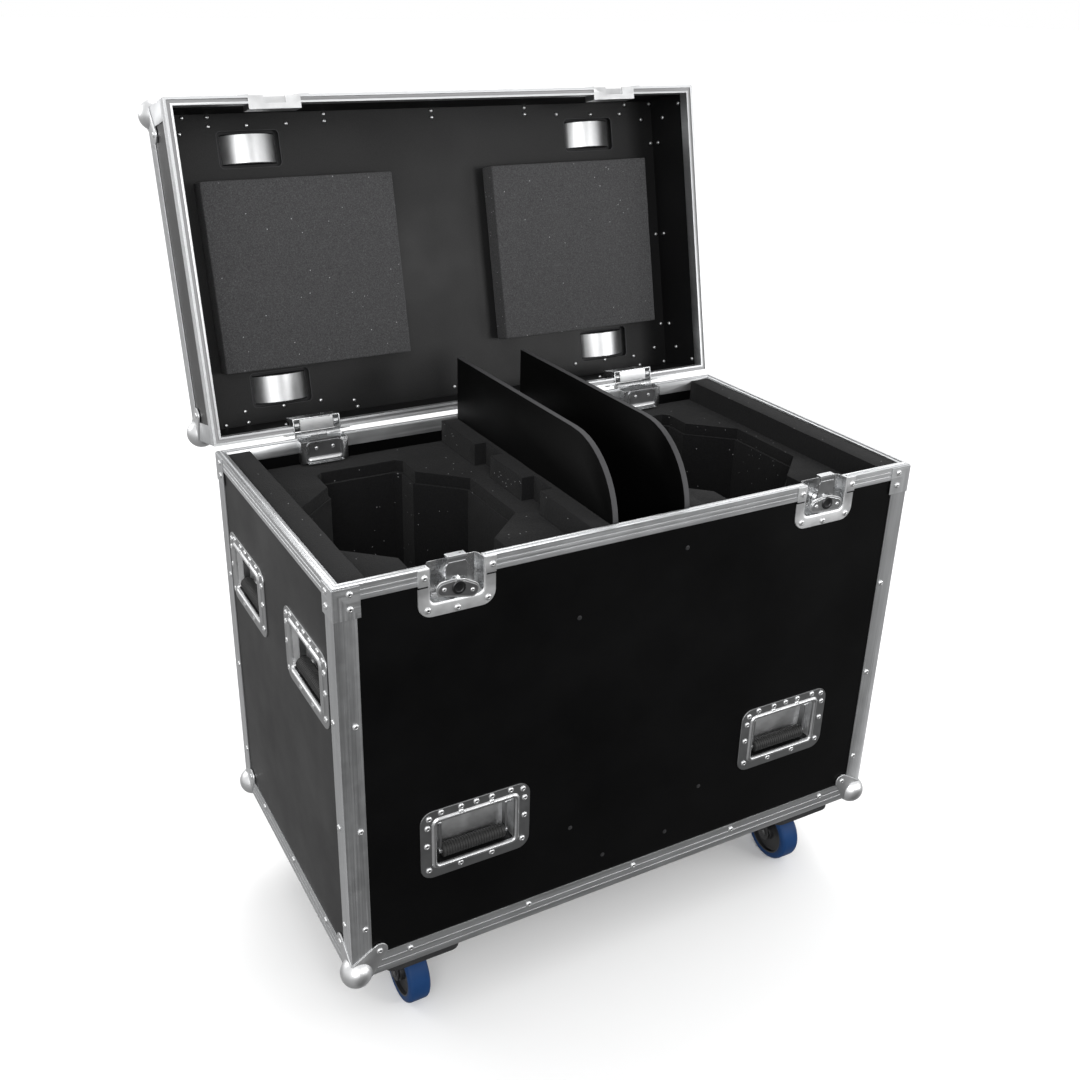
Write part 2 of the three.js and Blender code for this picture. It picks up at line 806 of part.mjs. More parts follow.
// Stop under the open lid: its upper face is parallel to the flange of the lid's hinge half
function lidStop () {
  const sin = Math.sin(lidOpenAngle)
  const cos = Math.cos(lidOpenAngle)
  const offset = hingePinSetback - flangeThickness - lidGap - runningGap
  const pinZ = closedGap / 2
  const onFace = distance => [
    offset * cos - distance * sin - hingePinSetback,
    offset * sin + distance * cos + pinZ
  ]
  const toe = onFace(stopEnd)
  const shape = polygon([
    [-flangeThickness, -hingeLeafHeight],
    [toe[0], -stopToeDrop],
    toe,
    onFace(stopStart),
    [-hingePinSetback, pinZ],
    [-flangeThickness, -pinZ]
  ])
  return sidePrism(shape, stopInnerX, barrelOuterX)
}

function hingeBase () {
  const sweep = hingeRod(barrelRadius + barrelSweepGap, -barrelMiddleX, barrelMiddleX)
  const barrel = join([
    hingeRod(barrelRadius, barrelMiddleX, barrelOuterX),
    gusset(barrelMiddleX, barrelOuterX),
    lidStop()
  ])
  const lip = wideBlock(
    hingeLipWidth, hingeBoxDepth - metalThickness, hingeBoxDepth + hingeLipLength,
    -hingeBoxHeight, metalThickness - hingeBoxHeight
  )
  const pin = hingeRod(pinRadius, -barrelOuterX, barrelOuterX)
  const leaf = hingeDish().add(lip).subtract(sweep)
  return onBackRim(join([leaf, barrel, mirrorX(barrel), pin]))
}

// Lid half: its middle barrel turns on the pin, and its flange clears the outer barrels
function hingeLid () {
  const middle = barrelMiddleX - runningGap
  const barrel = hingeRod(barrelRadius, -middle, middle).add(
    gusset(-middle, middle).mirror([0, 0, 1]).translate(0, 0, closedGap))
  const sweep = hingeRod(barrelRadius + barrelSweepGap, middle, barrelOuterX + clearance)
  const bore = hingeRod(pinRadius + runningGap, -barrelMiddleX, barrelMiddleX)
  const upright = hingeDish().mirror([0, 0, 1]).translate(0, -lidGap, closedGap)
  const leaf = cut(upright, [sweep, mirrorX(sweep)])
  return onBackRim(join([leaf, barrel]).subtract(bore))
}

function lidTopBoard () {
  const inset = boardInset + lidGap
  const depth = halfDepth - inset
  const board = wideBlock((halfWidth - inset) * 2, -depth, depth, lidTop - innerInset, lidTop - inset)
  return cut(board, cupPlaces().map(place => place(cupHole())))
}

// Four boards glued into a frame between the rim and the top board
function lidSideBoards () {
  const outer = boardInset + lidGap
  const inner = innerInset - lidGap
  const bottom = lidBottom + rimWebThickness + lidGap
  const top = lidTop - innerInset - lidGap
  const ring = mitredFrame([[outer, bottom], [outer, top], [inner, top], [inner, bottom]])
  return cut(ring, [...keeperHoles(lidGap), ...lidHingeHoles()])
}

function cupPlaces () {
  const sides = [[-1, -1], [1, -1], [-1, 1], [1, 1]]
  return sides.map(([x, y]) => body => body.translate(x * cupX, y * cupY, lidTop))
}

function cupHole () {
  const shape = roundedRect(
    -cupHoleWidth / 2, cupHoleWidth / 2, -cupHoleDepth / 2, cupHoleDepth / 2, cupHoleRadius
  )
  return prism(shape, -innerInset - overshoot, 0)
}

// Stacking cup: a plate over a hole in the lid, with a trough for the wheel of another case
function stackingCup () {
  const shape = roundedRect(
    -cupPlateWidth / 2, cupPlateWidth / 2, -cupPlateDepth / 2, cupPlateDepth / 2, cupPlateRadius
  )
  const axisZ = Math.sqrt(cupBowlRadius ** 2 - cupBowlHalfChord ** 2)
  const outerHalf = cupBowlHalfDepth + metalThickness
  const outer = rodY(cupBowlRadius + metalThickness, -outerHalf, outerHalf, 0, axisZ, cupSides)
  const inner = rodY(cupBowlRadius, -cupBowlHalfDepth, cupBowlHalfDepth, 0, axisZ, cupSides)
  const above = wideBlock(cupPlateWidth, -cupPlateDepth, cupPlateDepth, 0, axisZ + cupBowlRadius + overshoot)
  return cut(prism(shape, -metalThickness, 0).add(outer), [inner, above])
}

// Pad of the right half of the lid
function lidPad () {
  const top = lidTop - innerInset - lidGap
  const frontY = padFrontInset - halfDepth
  const backY = halfDepth - padBackInset
  return block(padMiddleGap, halfWidth - padSideInset, frontY, backY, top - padThickness, top)
}

// Board under the base with the fixed plates and races of its two castors
function castorBoard () {
  const half = castorBoardWidth / 2
  const end = halfDepth - castorBoardEndGap
  const shape = roundedRect(-half, half, -end, end, castorBoardRadius)
  const plateX = castorPlateWidth / 2
  const plateY = castorPlateLength / 2
  const plateShape = roundedRect(-plateX, plateX, -plateY, plateY, castorPlateRadius)
  const plateBottom = -castorBoardThickness - castorPlateThickness
  const race = rodZ(raceRadius, raceBottom, plateBottom + metalThickness)
  const head = prism(plateShape, plateBottom, 0).add(race)
  const heads = [-castorY, castorY].map(y => head.translate(0, y, 0))
  return join([prism(shape, -castorBoardThickness, 0), ...heads])
}

// Swivel fork with its trail to the front: crown, two legs, axle and nuts
function castorFork () {
  const crownBottom = crownTop - crownThickness
  const legInner = wheelWidth / 2 + forkGap
  const legOuter = legInner + forkLegThickness
  const shape = polygon([
    [-crownRadius, crownTop],
    [-castorTrail - forkTipRadius, axleZ],
    [-castorTrail + forkTipRadius, axleZ],
    [crownRadius, crownBottom - crownThickness],
    [crownRadius, crownTop]
  ])
  const tip = rodX(forkTipRadius, legInner, legOuter, -castorTrail, axleZ)
  const nut = rodX(nutRadius, legInner, legOuter + nutHeight, -castorTrail, axleZ, roundSides / 4)
  const leg = join([sidePrism(shape, legInner, legOuter), tip, nut])
  return join([
    rodZ(crownRadius, crownBottom, crownTop),
    rodZ(nutRadius, crownBottom - nutHeight, crownTop, roundSides / 4),
    leg,
    mirrorX(leg),
    rodX(axleRadius, -legOuter, legOuter, -castorTrail, axleZ)
  ])
}

// Wheel: a revolved section, with a flat facet of the tyre on the floor
function castorWheel () {
  const facet = 1 / Math.cos(Math.PI / wheelSides)
  const half = wheelWidth / 2
  const rimRadius = wheelRadius - tyreThickness
  const side = [
    [boreRadius, hubHalfWidth],
    [hubRadius, hubHalfWidth],
    [hubRadius, discHalfWidth],
    [rimRadius, discHalfWidth],
    [rimRadius, half],
    [wheelRadius - tyreEdgeRadius, half],
    [wheelRadius, half - tyreEdgeRadius]
  ]
  const section = [...side, ...side.map(([radius, x]) => [radius, -x]).reverse()]
  const points = [...section, section[0]].map(([radius, x]) => new THREE.Vector2(radius * facet, x))
  const geometry = new THREE.LatheGeometry(points, wheelSides, Math.PI / wheelSides)
  geometry.rotateZ(Math.PI / 2)
  return outward(geometry).translate(0, -castorTrail, axleZ)
}

// Looks
const looks = {
  laminate: { color: 0x17181a, roughness: 0.5, metalness: 0 },
  aluminium: { color: 0xc9cccf, roughness: 0.35, metalness: 1 },
  zinc: { color: 0xb9bcbf, roughness: 0.28, metalness: 1 },
  darkSteel: { color: 0x2b2c2e, roughness: 0.45, metalness: 0.8 },
  foam: { color: 0x2c2c2e, roughness: 0.95, metalness: 0 },
  rubber: { color: 0x141414, roughness: 0.8, metalness: 0 },
  board: { color: 0x1a1a1b, roughness: 0.7, metalness: 0 },
  tyre: { color: 0x1f5fa6, roughness: 0.5, metalness: 0 }
}

function mesh (name, body, look) {
  const data = body.getMesh()
  const vertices = new Float32Array(data.vertProperties)
  const geometry = new THREE.BufferGeometry()
  geometry.setAttribute('position', new THREE.BufferAttribute(vertices, data.numProp))
  geometry.setIndex(new THREE.BufferAttribute(new Uint32Array(data.triVerts), 1))
  geometry.computeVertexNormals()
  const made = new THREE.Mesh(geometry, new THREE.MeshStandardMaterial(looks[look]))
  made.name = name
  return made
}

// Left and right piece of a pair that is drawn on x = 0
function pair (name, body, x, look) {
  const [left, right] = bothSides(body, x)
  return [mesh(`${name}_left`, left, look), mesh(`${name}_right`, right, look)]
}

function mirroredPair (name, body, look) {
  return [mesh(`${name}_left`, body, look), mesh(`${name}_right`, mirrorX(body), look)]
}

function handleMeshes () {
  const groups = {
    front: [['left', 'right'], frontHandles()],
    left: [['front', 'back'], leftHandles()],
    right: [['front', 'back'], sideHandles(1)]
  }
  return Object.entries(groups).flatMap(([face, [names, places]]) => names.flatMap((name, i) => [
    mesh(`handle_dish_${face}_${name}`, places[i](handleDish()), 'zinc'),
    mesh(`handle_grip_${face}_${name}`, places[i](handleGrip()), 'rubber')
  ]))
}

function castorMeshes () {
  const spots = { front_left: [-1, -1], front_right: [1, -1], back_left: [-1, 1], back_right: [1, 1] }
  return Object.entries(spots).flatMap(([spot, [x, y]]) => [
    mesh(`castor_fork_${spot}`, castorFork().translate(x * castorX, y * castorY, 0), 'darkSteel'),
    mesh(`castor_wheel_${spot}`, castorWheel().translate(x * castorX, y * castorY, 0), 'tyre')
  ])
}

function baseMeshes () {
  return [
    mesh('base_floor_board', floorBoard(), 'laminate'),
    mesh('base_front_board', frontBoard(), 'laminate'),
    mesh('base_back_board', backBoard(), 'laminate'),
    ...mirroredPair('base_side_board', sideBoard(), 'laminate'),
    ...baseRimMeshes(),
    mesh('base_edges', baseEdges(), 'aluminium'),
    ...pair('divider', divider(), dividerOffset, 'board'),
    ...mirroredPair('foam_block', foamBlock(), 'foam'),
    ...mirroredPair('foam_tier', foamTier(), 'foam'),
    ...handleMeshes(),
    ...pair('latch_dish', latchDish(), latchX, 'zinc'),
    ...pair('latch_key', latchKey(), latchX, 'darkSteel'),
    ...pair('latch_hook', latchHook(), latchX, 'zinc'),
    ...pair('hinge_base', hingeBase(), hingeX, 'zinc'),
    ...pair('castor_board', castorBoard(), castorX, 'board'),
    ...castorMeshes()
  ]
}

function lidMeshes () {
  const cupNames = ['front_left', 'front_right', 'back_left', 'back_right']
  return [
    mesh('lid_top_board', lidTopBoard(), 'laminate'),
    mesh('lid_side_boards', lidSideBoards(), 'laminate'),
    ...lidRimMeshes(),
    mesh('lid_edges', lidEdges(), 'aluminium'),
    ...pair('hinge_lid', hingeLid(), hingeX, 'zinc'),
    ...cupPlaces().map((place, i) => mesh(`stacking_cup_${cupNames[i]}`, place(stackingCup()), 'zinc')),
    ...mirroredPair('lid_pad', mirrorX(lidPad()), 'foam')
  ]
}

// Opens the lid about its hinge pins, by moving the vertices of each piece
function openLid (piece) {
  piece.geometry.translate(0, -hingePinY, -hingePinZ)
  piece.geometry.rotateX(-lidOpenAngle)
  piece.geometry.translate(0, hingePinY, hingePinZ)
  return piece
}

// Stands the case on the floor, with the middle of its bounding box on the Z axis
function standOnFloor (group) {
  const bounds = new THREE.Box3().setFromObject(group)
  const middle = bounds.getCenter(new THREE.Vector3())
  for (const piece of group.children) {
    piece.geometry.translate(-middle.x, -middle.y, -bounds.min.z)
  }
  return group
}

const flightCase = new THREE.Group()
flightCase.name = 'lighting_flight_case'
flightCase.add(...baseMeshes(), ...lidMeshes().map(openLid))

export default standOnFloor(flightCase)
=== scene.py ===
# Lighting flight case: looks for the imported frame.
# Sizes are in millimetres in the box frame of the case: X to the right along the front, Y to
# the back, Z up from the underside of the box. Pieces of the lid are drawn with the lid closed
# and are then turned open about the hinge pins. Everything is scaled to metres when it is made.

import json
import math

import bmesh
import bpy
from mathutils import Matrix, Vector, noise

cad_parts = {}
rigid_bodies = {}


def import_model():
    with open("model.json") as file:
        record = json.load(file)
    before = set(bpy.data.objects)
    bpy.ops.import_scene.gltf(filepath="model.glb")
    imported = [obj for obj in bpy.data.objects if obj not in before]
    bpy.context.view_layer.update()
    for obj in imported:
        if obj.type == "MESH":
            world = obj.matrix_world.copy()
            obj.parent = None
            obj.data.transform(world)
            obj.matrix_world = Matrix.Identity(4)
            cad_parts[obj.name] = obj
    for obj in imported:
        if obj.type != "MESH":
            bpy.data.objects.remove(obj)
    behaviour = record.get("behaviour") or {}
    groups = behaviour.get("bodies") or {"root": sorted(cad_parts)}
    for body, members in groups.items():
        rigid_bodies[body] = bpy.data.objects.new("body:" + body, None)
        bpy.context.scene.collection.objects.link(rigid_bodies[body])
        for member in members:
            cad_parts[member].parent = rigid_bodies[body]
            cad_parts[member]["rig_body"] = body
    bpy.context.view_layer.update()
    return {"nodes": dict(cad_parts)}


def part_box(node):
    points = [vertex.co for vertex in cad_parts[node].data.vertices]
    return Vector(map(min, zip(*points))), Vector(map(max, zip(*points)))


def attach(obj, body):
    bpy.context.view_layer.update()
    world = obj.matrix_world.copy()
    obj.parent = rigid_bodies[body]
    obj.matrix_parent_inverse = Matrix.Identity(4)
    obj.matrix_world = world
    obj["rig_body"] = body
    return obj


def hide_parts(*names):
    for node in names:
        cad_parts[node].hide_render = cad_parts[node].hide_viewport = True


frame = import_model()

MM = 0.001

# The case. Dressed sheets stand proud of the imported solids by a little.
HALF_WIDTH = 475
HALF_DEPTH = 260
BASE_HEIGHT = 630
CLOSED_GAP = 1
LID_BOTTOM = BASE_HEIGHT + CLOSED_GAP
LID_HEIGHT = 131
LID_TOP = LID_BOTTOM + LID_HEIGHT
SHEET = 1.5
BOARD_THICKNESS = 9
INNER_INSET = SHEET + BOARD_THICKNESS
PIN_SETBACK = 5
LID_OPEN = math.radians(102.8)
PROUD = 0.3
SPOTS = {"front_left": (-1, -1), "front_right": (1, -1), "back_left": (-1, 1), "back_right": (1, 1)}
SIDES = {"left": -1, "right": 1}


def at(x=0, y=0, z=0):
    return Matrix.Translation((x, y, z))


def turned(axis, angle=math.pi / 2):
    return Matrix.Rotation(angle, 4, axis)


floor_low, floor_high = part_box("base_floor_board")
ORIGIN = Vector((
    (floor_low.x + floor_high.x) / 2,
    (floor_low.y + floor_high.y) / 2,
    floor_low.z - SHEET * MM,
))
TO_WORLD = Matrix.Translation(ORIGIN) @ Matrix.Scale(MM, 4)
TO_PIN = at(0, HALF_DEPTH + PIN_SETBACK, BASE_HEIGHT + CLOSED_GAP / 2)
OPEN_LID = TO_PIN @ turned("X", -LID_OPEN) @ TO_PIN.inverted()
FLIP_Z = Matrix.Scale(-1, 4, (0, 0, 1))


# Places of fittings: x to the right seen from outside, y into the case and z up
def on_front(x, z):
    return at(x, -HALF_DEPTH, z)


def on_back(x, z):
    return at(x, HALF_DEPTH, z) @ turned("Z", math.pi)


def on_left(y, z):
    return at(-HALF_WIDTH, y, z) @ turned("Z", -math.pi / 2)


def on_right(y, z):
    return at(HALF_WIDTH, y, z) @ turned("Z")


def on_floor(x, y):
    return at(x, y) @ turned("X")


def all_round(side, inset, z, lift=0):
    """Places near one end of each of the four faces, lifted off the face."""
    across = side * (HALF_WIDTH - inset)
    along = side * (HALF_DEPTH - inset)
    faces = [on_front(across, z), on_back(across, z), on_left(along, z), on_right(along, z)]
    return [place @ at(y=-lift) for place in faces]


# Materials. A noise has a scale, a detail and at times a roughness. Wear is how far the
# roughness goes down and up. Tone shares are places on a ramp with the share of the colour
# there. Depths of relief are in millimetres.
ALUMINIUM_TONE = (0.62, 0.628, 0.636)
LAMINATE_GLOSS = 0.1
SIDE_GLOSS = 0.28
NETTED_GLOSS = 0.25
LID_GLOSS = 0.6
PLASTIC_GLOSS = 0.5
TYRE_GLOSS = 0.16
FOAM_GLOSS = 0.1
NOISE_ROUGHNESS = 0.55
NOISE_LOW = 0.3
NOISE_HIGH = 0.7
FINE_DEPTH = 0.2
GRAIN_DEPTH = 0.3

LAMINATE_GRAIN = (900, 3)
LAMINATE_MARKS = (7, 5, 0.6)
LAMINATE_WEAR = (-0.05, 0.07)
LAMINATE_TONE_SHARES = ((0.3, 0.8), (0.75, 1.3))

NET_SCALE = 520
NET_RELIEF = 0.25
NET_MARKS = (6, 4)
NET_WEAR = (-0.05, 0.08)
NET_TONE_SHARES = ((0.25, 1.5), (0.6, 1))

DIE_STRETCH = 420
DIE_STRETCH_ALONG = 4
DIE_LINES = (1, 5, 0.6)
DIE_MARKS = (38, 6, 0.65)
DIE_MARKS_SHARE = 0.6
DIE_ROUGHNESS = 0.42
DIE_WEAR_RANGE = (0.34, 0.52, 0.55, 1.05)
DIE_TONE_SHARES = ((0.25, 0.9), (0.7, 1.06))
DIE_RELIEF = 0.07

ZINC_CLOUDS = (60, 5, 0.6)
ZINC_GRAIN = (700, 3)
ZINC_WEAR = (-0.02, 0.05)
ZINC_TONE_SHARES = ((0.3, 0.94), (0.7, 1.04))
ZINC_RELIEF = 0.02

FOAM_ROUGHNESS = 0.96
FOAM_CELL_SCALE = 620
FOAM_CLOUDS = (420, 6, 0.8)
FOAM_TONE_SHARES = ((0.34, 0.6), (0.5, 1), (0.66, 1.6))
FOAM_PORE_SHARES = ((0.05, 0.5), (0.5, 1))
FOAM_CELL_RELIEF = (0.55, 0.9)
FOAM_CUT = (240, 5, 0.7)
FOAM_CUT_RELIEF = (0.45, 1.2)
FOAM_SHEEN = (0.06, 0.6)
SPECK_SCALE = 190
SPECK_RARE = 0.965
SPECK_REACH = 0.16
SPECK_TONE = (0.32, 0.32, 0.33)

PLASTIC_MARKS = (24, 5)
PLASTIC_WEAR = (-0.06, 0.1)
PLASTIC_TONE_SHARES = ((0.3, 0.85), (0.75, 1.2))
PLASTIC_GRAIN_SCALE = 420
PLASTIC_GRAIN_DETAIL = 3
PLASTIC_RELIEF = 0.15
BOARD_GRAIN_SCALE = 160


def shade(color, share):
    """A colour made darker, or lighter up to white."""
    return tuple(min(c * share, 1) for c in color)


def tones(color, shares):
    return [(position, shade(color, share)) for position, share in shares]


def grey_steps(shares):
    return [(position, (level, level, level)) for position, level in shares]


class Nodes:
    """Short calls for the nodes of a material or of the world."""

    def __init__(self, tree):
        self.nodes = tree.nodes
        self.links = tree.links
        self.place = None

    def fill(self, socket, value):
        if isinstance(value, bpy.types.NodeSocket):
            self.links.new(value, socket)
        else:
            socket.default_value = (*value, 1) if socket.type == "RGBA" else value

    def node(self, kind, inputs, **settings):
        """A node with its settings. Its inputs are linked to a socket or set to a value."""
        node = self.nodes.new("ShaderNode" + kind)
        for key, value in settings.items():
            setattr(node, key, value)
        for key, value in inputs.items():
            self.fill(node.inputs[key], value)
        return node

    def stretched(self, scale):
        return self.node("Mapping", {"Vector": self.place, "Scale": scale}).outputs["Vector"]

    def noise(self, scale, detail, rough=NOISE_ROUGHNESS, vector=None):
        inputs = {"Vector": vector or self.place, "Scale": scale, "Detail": detail, "Roughness": rough}
        return self.node("TexNoise", inputs).outputs["Fac"]

    def cells(self, scale, output="Distance"):
        return self.node("TexVoronoi", {"Vector": self.place, "Scale": scale}).outputs[output]

    def ramp(self, factor, steps):
        node = self.node("ValToRGB", {"Fac": factor})
        elements = node.color_ramp.elements
        while len(elements) < len(steps):
            elements.new(0.5)
        for element, (position, color) in zip(elements, steps):
            element.position = position
            element.color = (*color, 1)
        return node.outputs["Color"]

    def spread(self, factor, low, high, from_low=NOISE_LOW, from_high=NOISE_HIGH, **settings):
        inputs = {"Value": factor, "To Min": low, "To Max": high}
        inputs |= {"From Min": from_low, "From Max": from_high}
        return self.node("MapRange", inputs, **settings).outputs["Result"]

    def math(self, operation, first, second):
        return self.node("Math", {0: first, 1: second}, operation=operation).outputs["Value"]

    def vector(self, operation, *values):
        node = self.node("VectorMath", dict(enumerate(values)), operation=operation)
        return node.outputs["Value" if operation == "DOT_PRODUCT" else "Vector"]

    def mix(self, factor, first, second, blend="MIX"):
        node = self.node("Mix", {}, data_type="RGBA", blend_type=blend)
        colours = [socket for socket in node.inputs if socket.type == "RGBA"]
        for socket, value in zip((node.inputs["Factor"], *colours), (factor, first, second)):
            self.fill(socket, value)
        return next(socket for socket in node.outputs if socket.type == "RGBA")


class Shader(Nodes):
    """A node material on object coordinates."""

    def __init__(self, name, color, roughness, metallic=0):
        self.material = bpy.data.materials.new(name)
        self.material.use_nodes = True
        super().__init__(self.material.node_tree)
        self.bsdf = self.nodes["Principled BSDF"]
        self.set("Base Color", color)
        self.set("Roughness", roughness)
        self.set("Metallic", metallic)
        self.place = self.node("TexCoord", {}).outputs["Object"]

    def set(self, socket, value):
        self.fill(self.bsdf.inputs[socket], value)

    def wear(self, factor, roughness, wear):
        self.set("Roughness", self.spread(factor, roughness + wear[0], roughness + wear[1]))

    def tint(self, factor, color, shares):
        self.set("Base Color", self.ramp(factor, tones(color, shares)))

    def bump(self, height, strength, depth):
        inputs = {"Height": height, "Strength": strength, "Distance": depth * MM}
        for link in self.bsdf.inputs["Normal"].links:
            inputs["Normal"] = link.from_socket
        self.set("Normal", self.node("Bump", inputs).outputs["Normal"])


def laminate_material(name, color, roughness, grain, gloss=LAMINATE_GLOSS):
    """Black phenolic laminate: fine leathery grain and faint handling marks."""
    s = Shader(name, color, roughness)
    s.set("Specular IOR Level", gloss)
    marks = s.noise(*LAMINATE_MARKS)
    s.wear(marks, roughness, LAMINATE_WEAR)
    s.tint(marks, color, LAMINATE_TONE_SHARES)
    s.bump(s.noise(*LAMINATE_GRAIN), grain, FINE_DEPTH)
    return s.material


def netted_material(name, color, roughness):
    """Laminate with the fine net that its press sheet leaves in the surface."""
    s = Shader(name, color, roughness)
    s.set("Specular IOR Level", NETTED_GLOSS)
    net = s.cells(NET_SCALE)
    s.wear(s.noise(*NET_MARKS), roughness, NET_WEAR)
    s.tint(net, color, NET_TONE_SHARES)
    s.bump(net, NET_RELIEF, GRAIN_DEPTH)
    return s.material


def aluminium_material(axis):
    """Mill finish extrusion: die lines run along its length, with a few small marks."""
    s = Shader("aluminium_along_" + axis.lower(), ALUMINIUM_TONE, DIE_ROUGHNESS, 1)
    stretch = tuple(DIE_STRETCH_ALONG if letter == axis else DIE_STRETCH for letter in "XYZ")
    lines = s.noise(*DIE_LINES, s.stretched(stretch))
    marks = s.math("MULTIPLY", s.noise(*DIE_MARKS), DIE_MARKS_SHARE)
    s.set("Roughness", s.spread(s.math("ADD", lines, marks), *DIE_WEAR_RANGE))
    s.tint(lines, ALUMINIUM_TONE, DIE_TONE_SHARES)
    s.bump(lines, DIE_RELIEF, FINE_DEPTH)
    return s.material


def zinc_material(name, color, roughness):
    """Bright zinc plate on pressed steel: faint clouds and soft small dents."""
    s = Shader(name, color, roughness, 1)
    clouds = s.noise(*ZINC_CLOUDS)
    s.wear(clouds, roughness, ZINC_WEAR)
    s.tint(clouds, color, ZINC_TONE_SHARES)
    s.bump(s.noise(*ZINC_GRAIN), ZINC_RELIEF, FINE_DEPTH)
    return s.material


def foam_material(name, color):
    """Charcoal closed-cell foam: cells, a rough cut face and scattered pale specks."""
    s = Shader(name, color, FOAM_ROUGHNESS)
    cells = s.cells(FOAM_CELL_SCALE)
    split = s.node("SeparateColor", {"Color": s.cells(SPECK_SCALE, "Color")})
    rare = s.math("GREATER_THAN", split.outputs["Red"], SPECK_RARE)
    near = s.math("LESS_THAN", s.cells(SPECK_SCALE), SPECK_REACH)
    cloud = s.ramp(s.noise(*FOAM_CLOUDS), tones(color, FOAM_TONE_SHARES))
    pores = s.ramp(cells, grey_steps(FOAM_PORE_SHARES))
    base = s.mix(1, cloud, pores, "MULTIPLY")
    s.set("Base Color", s.mix(s.math("MULTIPLY", rare, near), base, SPECK_TONE))
    s.set("Specular IOR Level", FOAM_GLOSS)
    s.set("Sheen Weight", FOAM_SHEEN[0])
    s.set("Sheen Roughness", FOAM_SHEEN[1])
    s.bump(cells, *FOAM_CELL_RELIEF)
    s.bump(s.noise(*FOAM_CUT), *FOAM_CUT_RELIEF)
    return s.material


def plastic_material(name, color, roughness, grain_scale=PLASTIC_GRAIN_SCALE, gloss=PLASTIC_GLOSS):
    """Painted or moulded surface with slight wear."""
    s = Shader(name, color, roughness)
    s.set("Specular IOR Level", gloss)
    marks = s.noise(*PLASTIC_MARKS)
    s.wear(marks, roughness, PLASTIC_WEAR)
    s.tint(marks, color, PLASTIC_TONE_SHARES)
    s.bump(s.noise(grain_scale, PLASTIC_GRAIN_DETAIL), PLASTIC_RELIEF, GRAIN_DEPTH)
    return s.material


LAMINATE = laminate_material("black_laminate", (0.0012, 0.0012, 0.0013), 0.4, 0.2)
# The side boards are the front laminate made lighter: a painted sheen for their glancing reflection.
SIDE_PAINTED_SHEEN = laminate_material("side_laminate_painted_sheen", (0.004, 0.004, 0.0043), 0.38, 0.2, SIDE_GLOSS)
NETTED = netted_material("netted_laminate", (0.006, 0.006, 0.0062), 0.4)
# The outside of the lid's side boards: the black laminate made lighter, a painted sheen for its glancing
# reflection.
LID_OUTER_PAINTED_SHEEN = laminate_material("lid_outer_painted_sheen", (0.008, 0.008, 0.0083), 0.34, 0.2, LID_GLOSS)
INSIDE = laminate_material("inner_laminate", (0.007, 0.007, 0.0073), 0.55, 0.3)
DIVIDER_FACE = laminate_material("divider_face", (0.001, 0.001, 0.001), 0.5, 0.2)
# The black ply edge of the dividers made lighter: a painted sheen.
DIVIDER_EDGE_PAINTED_SHEEN = laminate_material("divider_edge_painted_sheen", (0.05, 0.05, 0.052), 0.55, 0.5)
ALUMINIUM = tuple(aluminium_material(axis) for axis in "XYZ")
ZINC = zinc_material("zinc_plate", (0.6, 0.608, 0.615), 0.26)
# A lighter copy of the zinc: painted highlight on the hook head, the key cam and the hinge frame.
ZINC_PAINTED_HIGHLIGHT = zinc_material("zinc_painted_highlight", (0.78, 0.79, 0.8), 0.27)
RIVET = zinc_material("rivet_steel", (0.74, 0.745, 0.75), 0.36)
# A darker copy of the zinc: painted shade on the left key and the plate in the hinge window.
WINDOW_AND_KEY_PAINTED_SHADE = zinc_material("key_and_window_painted_shade", (0.3, 0.3, 0.306), 0.36)
# A darker copy of the zinc: painted shade on the hook plate and the grip arms.
HOOK_AND_ARM_PAINTED_SHADE = zinc_material("hook_and_arm_painted_shade", (0.42, 0.424, 0.43), 0.3)
RING_STEEL = zinc_material("ring_steel", (0.07, 0.07, 0.072), 0.34)
CUP_STEEL = zinc_material("cup_steel", (0.64, 0.645, 0.65), 0.4)
KEEPER_ZINC = zinc_material("keeper_zinc", (0.7, 0.705, 0.71), 0.36)
GROOVE = zinc_material("groove_shade", (0.3, 0.3, 0.304), 0.5)
SHADED_ZINC = zinc_material("shaded_zinc", (0.035, 0.035, 0.036), 0.5)
GAP = zinc_material("gap_shade", (0.03, 0.03, 0.031), 0.5)
FLANGE_ZINC = zinc_material("flange_zinc", (0.78, 0.785, 0.79), 0.46)
POCKET_ZINC = zinc_material("pocket_zinc", (0.58, 0.585, 0.59), 0.26)
# A lighter copy of the zinc: painted light on the back of the handle recess.
RECESS_PAINTED_LIGHT = zinc_material("recess_zinc_painted_light", (0.86, 0.865, 0.87), 0.46)
BALL_ZINC = zinc_material("ball_zinc", (0.72, 0.725, 0.732), 0.38)
LIP_ZINC = zinc_material("lip_zinc", (0.56, 0.565, 0.57), 0.32)
# A darker copy of the zinc: painted shade for the dim reflection of the flat handle plates.
HANDLE_PLATE_PAINTED_SHADE = zinc_material("handle_plate_painted_shade", (0.42, 0.425, 0.43), 0.3)
FORK_STEEL = plastic_material("fork_paint", (0.012, 0.012, 0.013), 0.42)
FOAM = foam_material("charcoal_foam", (0.0062, 0.0062, 0.0066))
PAD_FOAM = foam_material("pad_foam", (0.05, 0.05, 0.0515))
RUBBER = plastic_material("grip_rubber", (0.008, 0.008, 0.008), 0.6)
BOARD = plastic_material("castor_board_paint", (0.01, 0.01, 0.011), 0.65, BOARD_GRAIN_SCALE)
TYRE = plastic_material("blue_tyre", (0.004, 0.028, 0.095), 0.45, gloss=TYRE_GLOSS)
HUB = plastic_material("black_hub", (0.011, 0.011, 0.012), 0.4)
# Near black for the floor of the rivet holes: painted shade.
HOLE_PAINTED_SHADE = plastic_material("rivet_hole_painted_shade", (0.004, 0.004, 0.004), 0.8)


